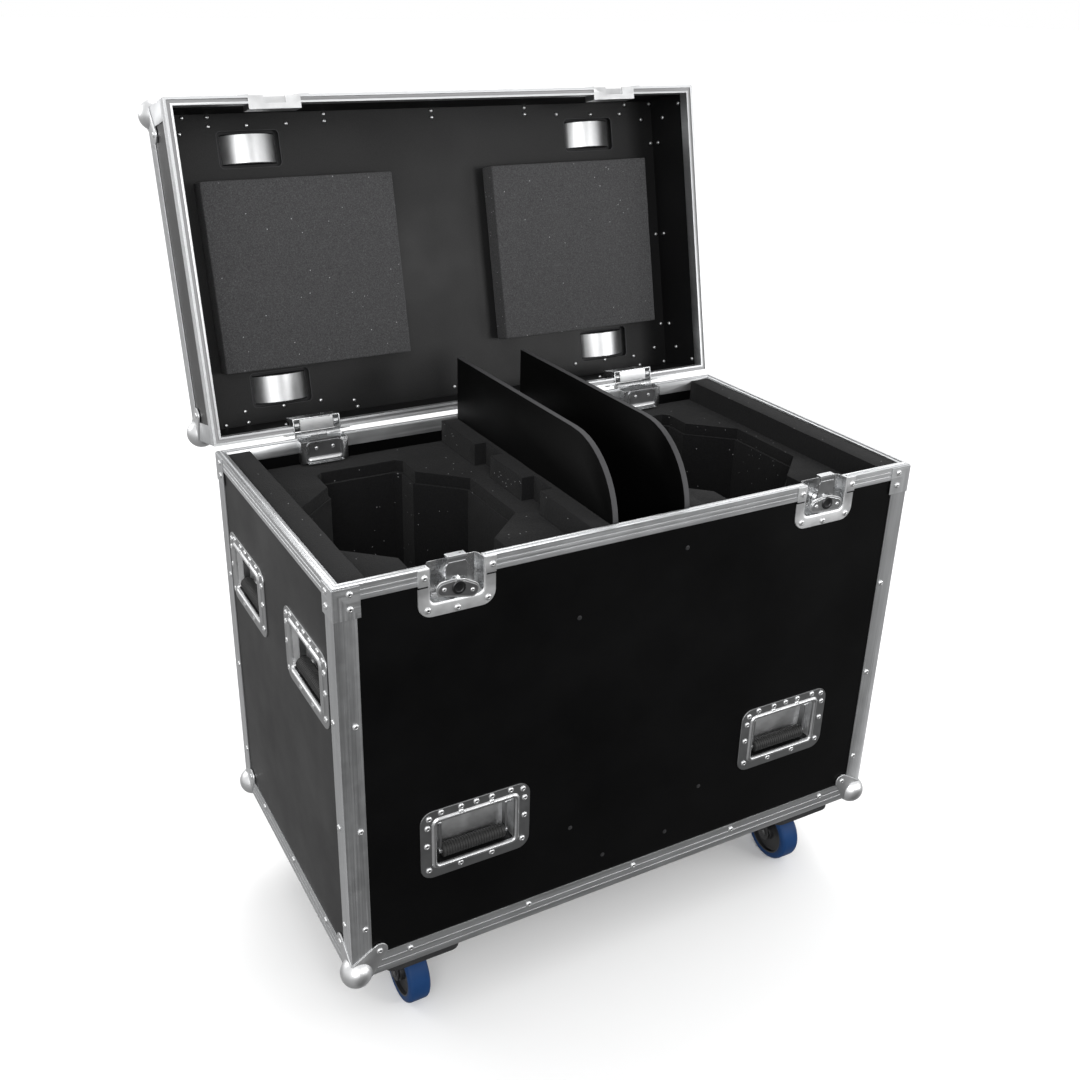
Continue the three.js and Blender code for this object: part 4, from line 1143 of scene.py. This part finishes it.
def key_outline(growth=0):
    """Butterfly with a flat lower edge, whose shoulders rise to a round boss."""
    circles = []
    for (x, z), radius in ((KEY_WING, KEY_WING_RADIUS), (KEY_SHOULDER, KEY_SHOULDER_RADIUS)):
        circles += [(-x, z, radius + growth), (x, z, radius + growth)]
    return hull_outline(circles)


def turned_section(profile, y, angle):
    """Mesh of a section turned about an axis into the case, at the height of the key."""
    bm = bmesh.new()
    lathe(bm, profile, KEY_STEPS, at(0, y, KEY_Z) @ turned("X", angle))
    return bm


def fork_outline():
    """Hook plate: two legs beside the boss with a rounded slot between them, and a neck."""
    outline = [(-FORK_HALF, FORK_BOTTOM), (-FORK_SLOT, FORK_BOTTOM), (-FORK_SLOT, FORK_ARCH)]
    for i in range(1, FORK_STEPS):
        angle = math.pi * (1 - i / FORK_STEPS)
        rise = FORK_SLOT * FORK_ARCH_SHARE * math.sin(angle)
        outline.append((FORK_SLOT * math.cos(angle), FORK_ARCH + rise))
    outline += [(FORK_SLOT, FORK_ARCH), (FORK_SLOT, FORK_BOTTOM), (FORK_HALF, FORK_BOTTOM)]
    outline += [(FORK_HALF, FORK_SHOULDER), (NECK_HALF, 0), (NECK_HALF, NECK_TOP)]
    return outline + [(-NECK_HALF, NECK_TOP), (-NECK_HALF, 0), (-FORK_HALF, FORK_SHOULDER)]


def hook_head():
    """Folded top of the hook with the round bead below it."""
    bm = bmesh.new()
    for (half, low, high), faces in (HEAD_BAR, HEAD_BEAD):
        slab(bm, [(-half, low), (half, low), (half, high), (-half, high)], *faces)
    return bm


def latch_key(side, place):
    body = "latch_key_" + side
    # The key's tone: painted shade on the left key, plain zinc on the right.
    angle, finish = KEY_LOOKS[side]
    place = place @ at(z=KEY_Z) @ turned("Y", angle) @ at(z=-KEY_Z)
    to_key = at(z=KEY_Z)
    wing = piece("key_wing_" + side, slab_mesh(key_outline(), KEY_FRONT, KEY_BACK, to_key),
                 finish, body, place)
    bevelled(wing, KEY_ROUND, 3)
    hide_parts(body)
    low, high = KEY_SKIRT_REACH
    skirt = slab_mesh(key_outline(KEY_SKIRT), KEY_BACK + low, KEY_BACK + high, to_key)
    bevelled(piece("key_skirt_" + side, skirt, KEEPER_ZINC, body, place), KEY_SKIRT_ROUND, 3)
    ring = turned_section(KEY_RING, KEY_FRONT, math.pi / 2)
    piece("key_ring_" + side, ring, RING_STEEL, body, place)
    cam = turned_section(KEY_CAM, KEY_BACK, -math.pi / 2)
    # The cam is in the lighter zinc: a painted highlight.
    piece("key_cam_" + side, cam, ZINC_PAINTED_HIGHLIGHT, body, place)
    x, z = KEY_WING
    spots = [place @ at(dx, KEY_FRONT, KEY_Z + z) for dx in (-x, x)]
    rivets("key_rivets_" + side, spots, body, head=KEY_RIVET_HEAD)


def latch_hook(side, place):
    body = "latch_hook_" + side
    plate = slab_mesh(fork_outline(), *FORK_FACES)
    # The hook plate is in the darker steel: painted shade.
    hook = piece("hook_plate_" + side, plate, HOOK_AND_ARM_PAINTED_SHADE, body, place)
    bevelled(hook, HOOK_ROUND, 3)
    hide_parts(body)
    # The head is in the lighter zinc: a painted highlight.
    head = piece("hook_head_" + side, hook_head(), ZINC_PAINTED_HIGHLIGHT, body, place)
    bevelled(head, HOOK_ROUND, 3)
    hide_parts(body)


def latches():
    metals = (POCKET_ZINC, GAP, FLANGE_ZINC)
    for side, sign in SIDES.items():
        place = on_front(sign * LATCH_X, BASE_HEIGHT)
        dish = piece("latch_plate_" + side, latch_dish(), metals, "base", place,
                     WIDE_ANGLE, toward=(0, -1, 0))
        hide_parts("latch_dish_" + side)
        solidify(dish, DISH_SHEET)
        latch_key(side, place)
        latch_hook(side, place)
        spots = []
        for dx, dz in LATCH_RIVETS:
            lift = SHEET + PROUD if dz > JOGGLE[0] else PROUD
            spots.append(place @ at(dx, -lift, dz))
        rivets("latch_rivets_" + side, spots, "base")


# Hinges with a lid stay. Plates are a half width, a top, a bottom and a corner radius.
HINGE_BOX_DEPTH = 24
HINGE_ROUND = 0.4
HINGE_WINDOW = (27, 3, -30, 5)
HINGE_WINDOW_SHEET = 0.6
HINGE_FRAME = (31, -0.5, -33.5, 8)
HINGE_FRAME_SHARES = (0.98, 0.985)
HINGE_FRAME_HOLE = (27, -3, -29.5, 5)
HINGE_FRAME_FRONT = 1.8
HINGE_FRAME_BACK = 0.4
LEDGE_PROFILE = [(2.4, -29), (4.2, -27.4), (4.8, -24), (4.8, 24), (4.2, 27.4), (2.4, 29)]
LEDGE_Z = -31
LEDGE_STEPS = 28
LEAF_SECTION = [
    (-10, 0.4), (7.8, 0.4), (9.6, 0.9), (10, 2.6), (9.2, 3), (8.4, 2), (7.4, 1.6), (-9.4, 1.6), (-10, 1.1),
]
LEAF_HALF = 28
LEAF_ROUND = 0.3
DRUM_PROFILE = [(4, -5), (6, -4), (6, 4), (4, 5)]
DRUM_X = 33
DRUM_RISE = 7
DRUM_STEPS = 24
HINGE_INNER_RIVETS = (14, -12)
HINGE_OUTER_RIVETS = [(-47, 1.5, -14), (47, 1.5, -14), (-44, 0, -46), (0, 0, -51), (44, 0, -46)]


def hinge_frame():
    """Raised frame round the window in the hinge box, in the lighter zinc that paints a highlight on it."""
    outer = rounded_outline(*HINGE_FRAME)
    inside = rounded_outline(*HINGE_FRAME_HOLE)
    across, up = HINGE_FRAME_SHARES
    bm = bmesh.new()
    loft(bm, [
        [Vector((x, 0, z)) for x, z in outer],
        [Vector((x * across, HINGE_FRAME_FRONT, z * up)) for x, z in outer],
        [Vector((x, HINGE_FRAME_FRONT, z)) for x, z in inside],
        [Vector((x, HINGE_FRAME_BACK, z)) for x, z in inside],
    ])
    return bm


def hinge_ledge():
    """Rounded lower edge of the window in the hinge box."""
    bm = bmesh.new()
    lathe(bm, LEDGE_PROFILE, LEDGE_STEPS, at(0, HINGE_WINDOW_SHEET, LEDGE_Z) @ turned("Y"))
    return bm


def knuckles():
    """Drums at the two ends of the leaf."""
    bm = bmesh.new()
    for x in (-DRUM_X, DRUM_X):
        lathe(bm, DRUM_PROFILE, DRUM_STEPS, at(x, 0, DRUM_RISE) @ turned("Y"))
    return bm


def hinge_leaves(side, x):
    """Leaf and drums across the mouth of the lid's hinge box, drawn with the lid closed."""
    place = OPEN_LID @ at(x, HALF_DEPTH - HINGE_BOX_DEPTH / 2, LID_BOTTOM)
    leaf = slab_mesh(LEAF_SECTION, -LEAF_HALF, LEAF_HALF, turned("Z"))
    bevelled(piece("hinge_leaf_" + side, leaf, KEEPER_ZINC, "lid", place), LEAF_ROUND)
    piece("hinge_knuckles_" + side, knuckles(), ZINC, "lid", place)


def hinges():
    for side, sign in SIDES.items():
        redress("hinge_base_" + side, ZINC, HINGE_ROUND)
        redress("hinge_lid_" + side, ZINC, HINGE_ROUND)
        place = on_back(sign * HINGE_X, BASE_HEIGHT)
        inner = place @ at(y=HINGE_BOX_DEPTH)
        window = slab_mesh(rounded_outline(*HINGE_WINDOW), 0, HINGE_WINDOW_SHEET)
        # The window plate is in the darker steel: painted shade in the window.
        piece("hinge_plate_" + side, window, WINDOW_AND_KEY_PAINTED_SHADE, "base", inner)
        # The frame takes the lighter zinc: a painted highlight.
        piece("hinge_frame_" + side, hinge_frame(), ZINC_PAINTED_HIGHLIGHT, "base", inner, WIDE_ANGLE)
        piece("hinge_ledge_" + side, hinge_ledge(), KEEPER_ZINC, "base", inner, WIDE_ANGLE)
        hinge_leaves(side, sign * HINGE_X)
        x, z = HINGE_INNER_RIVETS
        facing = inner @ at(y=HINGE_WINDOW_SHEET) @ turned("Z", math.pi)
        spots = [facing @ at(dx, 0, z) for dx in (-x, x)]
        rivets("hinge_inner_rivets_" + side, spots, "base", head=HINGE_RIVET_HEAD)
        spots = [at(dx, -lift, dz) for dx, lift, dz in HINGE_OUTER_RIVETS]
        rivets("hinge_outer_rivets_" + side, [place @ spot for spot in spots], "base")
        closed = on_back(sign * HINGE_X, LID_BOTTOM) @ FLIP_Z @ at(y=-PROUD)
        rivets("hinge_lid_rivets_" + side, [closed @ spot for spot in spots], "lid", OPEN_LID)


# Foam, cut from sheet by hand
FOAM_STEP = 22
FOAM_WAVE = 0.55
FOAM_WAVE_LENGTH = 45
FOAM_SEED = 1
FOAM_ROUND_STEPS = 3
FOAM_ROUND_ANGLE = 28
FOAM_LOOKS = {"foam_block_": (FOAM, 2.2), "foam_tier_": (FOAM, 1.6), "lid_pad_": (PAD_FOAM, 2.2)}


def foam(node, material, soften):
    """A foam block with softened edges that waver slightly."""
    bm = copy_of(node, FOAM_STEP)
    for vertex in bm.verts:
        vertex.co += noise.noise_vector(vertex.co / FOAM_WAVE_LENGTH) * FOAM_WAVE
    body = frame["nodes"][node]["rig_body"]
    obj = piece(node + "_cut", bm, material, body, angle=WIDE_ANGLE)
    bevelled(obj, soften, FOAM_ROUND_STEPS, FOAM_ROUND_ANGLE)
    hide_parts(node)


def dress_foam():
    noise.seed_set(FOAM_SEED)
    for side in SIDES:
        for name, (material, soften) in FOAM_LOOKS.items():
            foam(name + side, material, soften)


# Rivet tails in the lid: on its top board as x and the distance from the hinge side, on its
# right board as that distance and the drop, and on the hinge board as x and the drop
LID_TAILS = [
    (-424, 505), (-384, 505), (-384, 491), (-431, 481), (-322, 491), (-256, 492), (-190, 505), (-190, 494),
    (6, 505), (6, 494), (405, 505), (393, 489), (329, 490), (256, 492), (190, 505), (190, 494), (461, 505),
    (441, 477), (460, 433), (459, 263), (458, 90), (439, 45), (-389, 34), (-322, 35), (-256, 35), (-424, 15),
    (-386, 15), (-196, 27), (-191, 15), (-2, 25), (389, 34), (322, 35), (256, 35), (402, 15), (460, 15),
    (196, 27), (191, 15),
]
LID_WALL_TAILS = [(475, 38), (493, 90), (432, 19), (263, 20), (90, 20), (45, 39), (23, 89)]
LID_REAR_TAILS = [(-341, 66), (-310, 71), (-273, 58), (273, 58), (310, 71), (341, 66)]


def lid_tails():
    inner_top = LID_TOP - INNER_INSET
    spots = [at(x, HALF_DEPTH - along, inner_top) @ turned("X") for x, along in LID_TAILS]
    for along, drop in LID_WALL_TAILS:
        wall = at(HALF_WIDTH - INNER_INSET, HALF_DEPTH - along, inner_top - drop)
        spots.append(wall @ turned("Z", -math.pi / 2))
    spots += [at(x, HALF_DEPTH - INNER_INSET, inner_top - drop) for x, drop in LID_REAR_TAILS]
    rivets("lid_rivet_tails", [OPEN_LID @ spot for spot in spots], "lid", head=TAIL_HEAD)


# Stacking cups. A rounded rectangle is two half sizes and a corner radius.
CUP_PLACE = (322, 194)
CUP_PLATE = (64, 34, 8)
CUP_MOUTH = (45, 22, 1)
CUP_HOLE = (52, 29.5, 8)
CUP_RADIUS = 54
CUP_STEPS = 40
CUP_SHADE = 0.6
CUP_EDGE = 0.9
CUP_EDGE_REACH = (-0.2, 2)


def cup_arc(radius):
    """Points of the trough from its left to its right edge, which lie level with the lid."""
    axis = math.sqrt(CUP_RADIUS ** 2 - CUP_MOUTH[0] ** 2)
    half_angle = math.acos(axis / radius)
    points = []
    for i in range(CUP_STEPS + 1):
        angle = half_angle * (i * 2 / CUP_STEPS - 1)
        points.append((radius * math.sin(angle), axis - radius * math.cos(angle)))
    return points


def cup_trough():
    half = CUP_MOUTH[1]
    return slab_mesh(cup_arc(CUP_RADIUS + SHEET) + cup_arc(CUP_RADIUS)[::-1], -half, half)


def cup_ends():
    near = CUP_MOUTH[1]
    far = near + SHEET
    bm = slab_mesh(cup_arc(CUP_RADIUS + SHEET), -far, -near)
    slab(bm, cup_arc(CUP_RADIUS + SHEET), near, far)
    return bm


def flat_ring(outer, inner, low, high):
    """Ring between two rounded rectangles, from z = low to z = high."""
    bm = bmesh.new()
    flat = turned("X", -math.pi / 2)
    levels = [(outer, low), (outer, high), (inner, high), (inner, low), (outer, low)]
    loft(bm, [[flat @ point + Vector((0, 0, z)) for point in rounded_rect(*shape)] for shape, z in levels])
    return bm


def stacking_cups():
    for name, (sx, sy) in SPOTS.items():
        place = OPEN_LID @ at(sx * CUP_PLACE[0], sy * CUP_PLACE[1], LID_TOP)
        parts = {
            "cup_trough_": (cup_trough(), CUP_STEEL),
            "cup_ends_": (cup_ends(), GAP),
            "cup_plate_": (flat_ring(CUP_PLATE, CUP_MOUTH, -SHEET, 0), ZINC),
            "cup_shade_": (flat_ring(CUP_HOLE, CUP_MOUTH, -SHEET - CUP_SHADE, -SHEET), SHADED_ZINC),
        }
        for label, (bm, material) in parts.items():
            part = piece(label + name, bm, material, "lid", place)
            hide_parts("stacking_cup_" + name)
        # A thin ring in the lighter edge laminate at the hole in the board: the ply edge with a painted
        # highlight.
        low, high = CUP_EDGE_REACH
        inside = tuple(size - CUP_EDGE for size in CUP_HOLE)
        edge = flat_ring(CUP_HOLE, inside, low - INNER_INSET, high - INNER_INSET)
        piece("cup_hole_rim_sheen_" + name, edge, DIVIDER_EDGE_PAINTED_SHEEN, "lid", place)


# Castors. Profiles have radii first, and one half of the profile of a wheel is mirrored.
CASTOR_PLACE = (360, 150)
CASTOR_TRAIL = 36
AXLE_Z = -90
WHEEL_RADIUS = 50
WHEEL_HALF = 18
TYRE_SEAT = [(38.4, 1), (42, 0)]
TYRE_ROUND = 7
TYRE_ROUND_STEPS = 8
TYRE_STEPS = 72
HUB_SIDE = [
    (6, 19), (9, 19), (9.4, 18.2), (13.4, 18.2), (14, 17.6), (14.6, 10.5), (17, 9.4), (33, 9.4),
    (35.5, 10.6), (36.4, 16.6), (38.4, 17.2),
]
HUB_STEPS = 48
HUB_SMOOTH_ANGLE = 30
FORK_ROUND = 0.6
BOLT_PLACE = (32, 42)
BOLT_Z = -18
BOLT_WASHER = [(8.4, 0), (8.4, 1.4)]
BOLT_NUT = [(6.4, 1.4), (6.4, 5.6), (5.6, 6.4)]
BOLT_SMOOTH_ANGLE = 25
NUT_SIDES = 6


def tyre_mesh():
    profile = [(radius, inset - WHEEL_HALF) for radius, inset in TYRE_SEAT]
    for i in range(TYRE_ROUND_STEPS + 1):
        angle = math.radians(-90 + 90 * i / TYRE_ROUND_STEPS)
        radius = WHEEL_RADIUS - TYRE_ROUND + TYRE_ROUND * math.cos(angle)
        profile.append((radius, -WHEEL_HALF + TYRE_ROUND + TYRE_ROUND * math.sin(angle)))
    return wheel_ring(both_sides(profile), TYRE_STEPS)


def castor_bolts(name, swivel):
    """Washers and nuts at the corners of the castor's plate."""
    bm = bmesh.new()
    x, y = BOLT_PLACE
    for bx in (-x, x):
        for by in (-y, y):
            bolt = swivel @ at(bx, by, BOLT_Z) @ turned("X", math.pi)
            lathe(bm, BOLT_WASHER, PIN_STEPS, bolt)
            lathe(bm, BOLT_NUT, NUT_SIDES, bolt)
    piece("castor_bolts_" + name, bm, RIVET, "base", angle=BOLT_SMOOTH_ANGLE, weld=False)


def castors():
    for name, (sx, sy) in SPOTS.items():
        swivel = at(sx * CASTOR_PLACE[0], sy * CASTOR_PLACE[1])
        axle = swivel @ at(0, -CASTOR_TRAIL, AXLE_Z)
        body = "castor_wheel_" + name
        tyre = piece("tyre_" + name, tyre_mesh(), TYRE, body, axle, WIDE_ANGLE)
        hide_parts(body)
        hub = wheel_ring(both_sides(HUB_SIDE), HUB_STEPS)
        hub = piece("hub_" + name, hub, HUB, body, axle, HUB_SMOOTH_ANGLE)
        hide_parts(body)
        redress("castor_fork_" + name, FORK_STEEL, FORK_ROUND)
        castor_bolts(name, swivel)


# Camera, in millimetres and degrees
CAMERA_AZIMUTH = -28.82
CAMERA_ELEVATION = 24.146
CAMERA_ROLL = 1.074
CAMERA_PLACE = (-880.3, -1464.9, 1290.1)
CAMERA_LENS = 39.07
CAMERA_SENSOR = 36
CAMERA_SHIFT = (0.0183, -0.01998)


def cos_sin(degrees):
    angle = math.radians(degrees)
    return math.cos(angle), math.sin(angle)


def make_camera():
    camera = bpy.data.cameras.new("camera")
    camera.lens = CAMERA_LENS
    camera.sensor_width = CAMERA_SENSOR
    camera.shift_x, camera.shift_y = CAMERA_SHIFT
    obj = bpy.data.objects.new("camera", camera)
    ca, sa = cos_sin(CAMERA_AZIMUTH)
    ce, se = cos_sin(CAMERA_ELEVATION)
    cr, sr = cos_sin(CAMERA_ROLL)
    back = Vector((sa * ce, -ca * ce, se))
    right = (-back).cross(Vector((0, 0, 1))).normalized()
    up = right.cross(-back)
    axes = (cr * right + sr * up, -sr * right + cr * up, back)
    place = Matrix.Translation(TO_WORLD @ Vector(CAMERA_PLACE))
    obj.matrix_world = place @ Matrix(axes).transposed().to_4x4()
    bpy.context.scene.collection.objects.link(obj)
    bpy.context.scene.camera = obj


# Light and floor, in metres. The sky has shares of full light by height, where straight down
# is 0, the horizon 0.5 and straight up 1. A lamp has a place, a target, a size and a power.
SKY_SHARES = [(0, 0.3), (0.42, 0.45), (0.486, 0.64), (0.487, 1), (0.9, 1)]
SKY_DIM_SHARES = [(0, 0.1), (0.46, 0.14), (0.54, 0.3), (0.72, 0.66), (0.9, 1)]
SKY_DIM_SIDE = (0.35, -0.94, 0)
SKY_DIM_REACH = (0.6, 0.96)
SUN_WAY = (-0.25, -0.55, -0.8)
SUN_POWER = 1.1
SUN_ANGLE = 30
LAMPS = {
    "left_light": ((-2.6, 2.4, 2), (-0.5, 0, 0.5), 1.6, 20),
    "right_light": ((2.8, -2.2, 1), (0.4, -0.3, 0.4), 1.2, 20),
    "front_light": ((-1.9, -4, 2.6), (0, 0, 0.6), 3, 110),
    "lid_light": ((1.5, -3, 1.6), (0, 0.3, 0.9), 0.9, 22),
}
FLOOR_SIZE = 60
FLOOR_TONE = (0.93, 0.93, 0.93)
FLOOR_ROUGHNESS = 0.9
FLOOR_GRAIN = (90, 3)
FLOOR_RELIEF = (0.03, 1)


def sky():
    """Soft light all round, with a dim part in front of the case that its front mirrors."""
    world = bpy.data.worlds.new("studio")
    world.use_nodes = True
    bpy.context.scene.world = world
    tree = Nodes(world.node_tree)
    direction = tree.node("TexCoord", {}).outputs["Generated"]
    upward = tree.node("SeparateXYZ", {"Vector": direction}).outputs["Z"]
    height = tree.spread(upward, 0, 1, -1, 1)
    compass = tree.vector("NORMALIZE", tree.vector("MULTIPLY", direction, (1, 1, 0)))
    toward = tree.vector("DOT_PRODUCT", compass, SKY_DIM_SIDE)
    dim = tree.spread(toward, 0, 1, *SKY_DIM_REACH, interpolation_type="SMOOTHSTEP")
    full, dimmed = [tree.ramp(height, grey_steps(shares)) for shares in (SKY_SHARES, SKY_DIM_SHARES)]
    tree.fill(tree.nodes["Background"].inputs["Color"], tree.mix(dim, full, dimmed))


def make_floor():
    bm = bmesh.new()
    bmesh.ops.create_grid(bm, x_segments=2, y_segments=2, size=FLOOR_SIZE)
    mesh = bpy.data.meshes.new("floor")
    bm.to_mesh(mesh)
    bm.free()
    paper = Shader("floor_paper", FLOOR_TONE, FLOOR_ROUGHNESS)
    paper.set("Specular IOR Level", 0)
    paper.bump(paper.noise(*FLOOR_GRAIN), *FLOOR_RELIEF)
    mesh.materials.append(paper.material)
    floor = bpy.data.objects.new("floor", mesh)
    bpy.context.scene.collection.objects.link(floor)
    floor.visible_glossy = False


def lamp(name, kind, power, way):
    """A light that looks along a vector."""
    light = bpy.data.lights.new(name, kind)
    light.energy = power
    obj = bpy.data.objects.new(name, light)
    obj.rotation_euler = way.to_track_quat("-Z", "Y").to_euler()
    bpy.context.scene.collection.objects.link(obj)
    return obj


def make_lights():
    sun = lamp("overhead_light", "SUN", SUN_POWER, Vector(SUN_WAY))
    sun.data.angle = math.radians(SUN_ANGLE)
    for name, (place, target, size, power) in LAMPS.items():
        obj = lamp(name, "AREA", power, Vector(target) - Vector(place))
        obj.location = place
        obj.data.size = size


bpy.context.scene.view_settings.view_transform = "Standard"
make_camera()
sky()
make_floor()
make_lights()
dress_boards()
dress_extrusions()
base_rivets()
panel_screws()
ball_corners()
handles()
latches()
hinges()
dress_foam()
lid_tails()
stacking_cups()
castors()
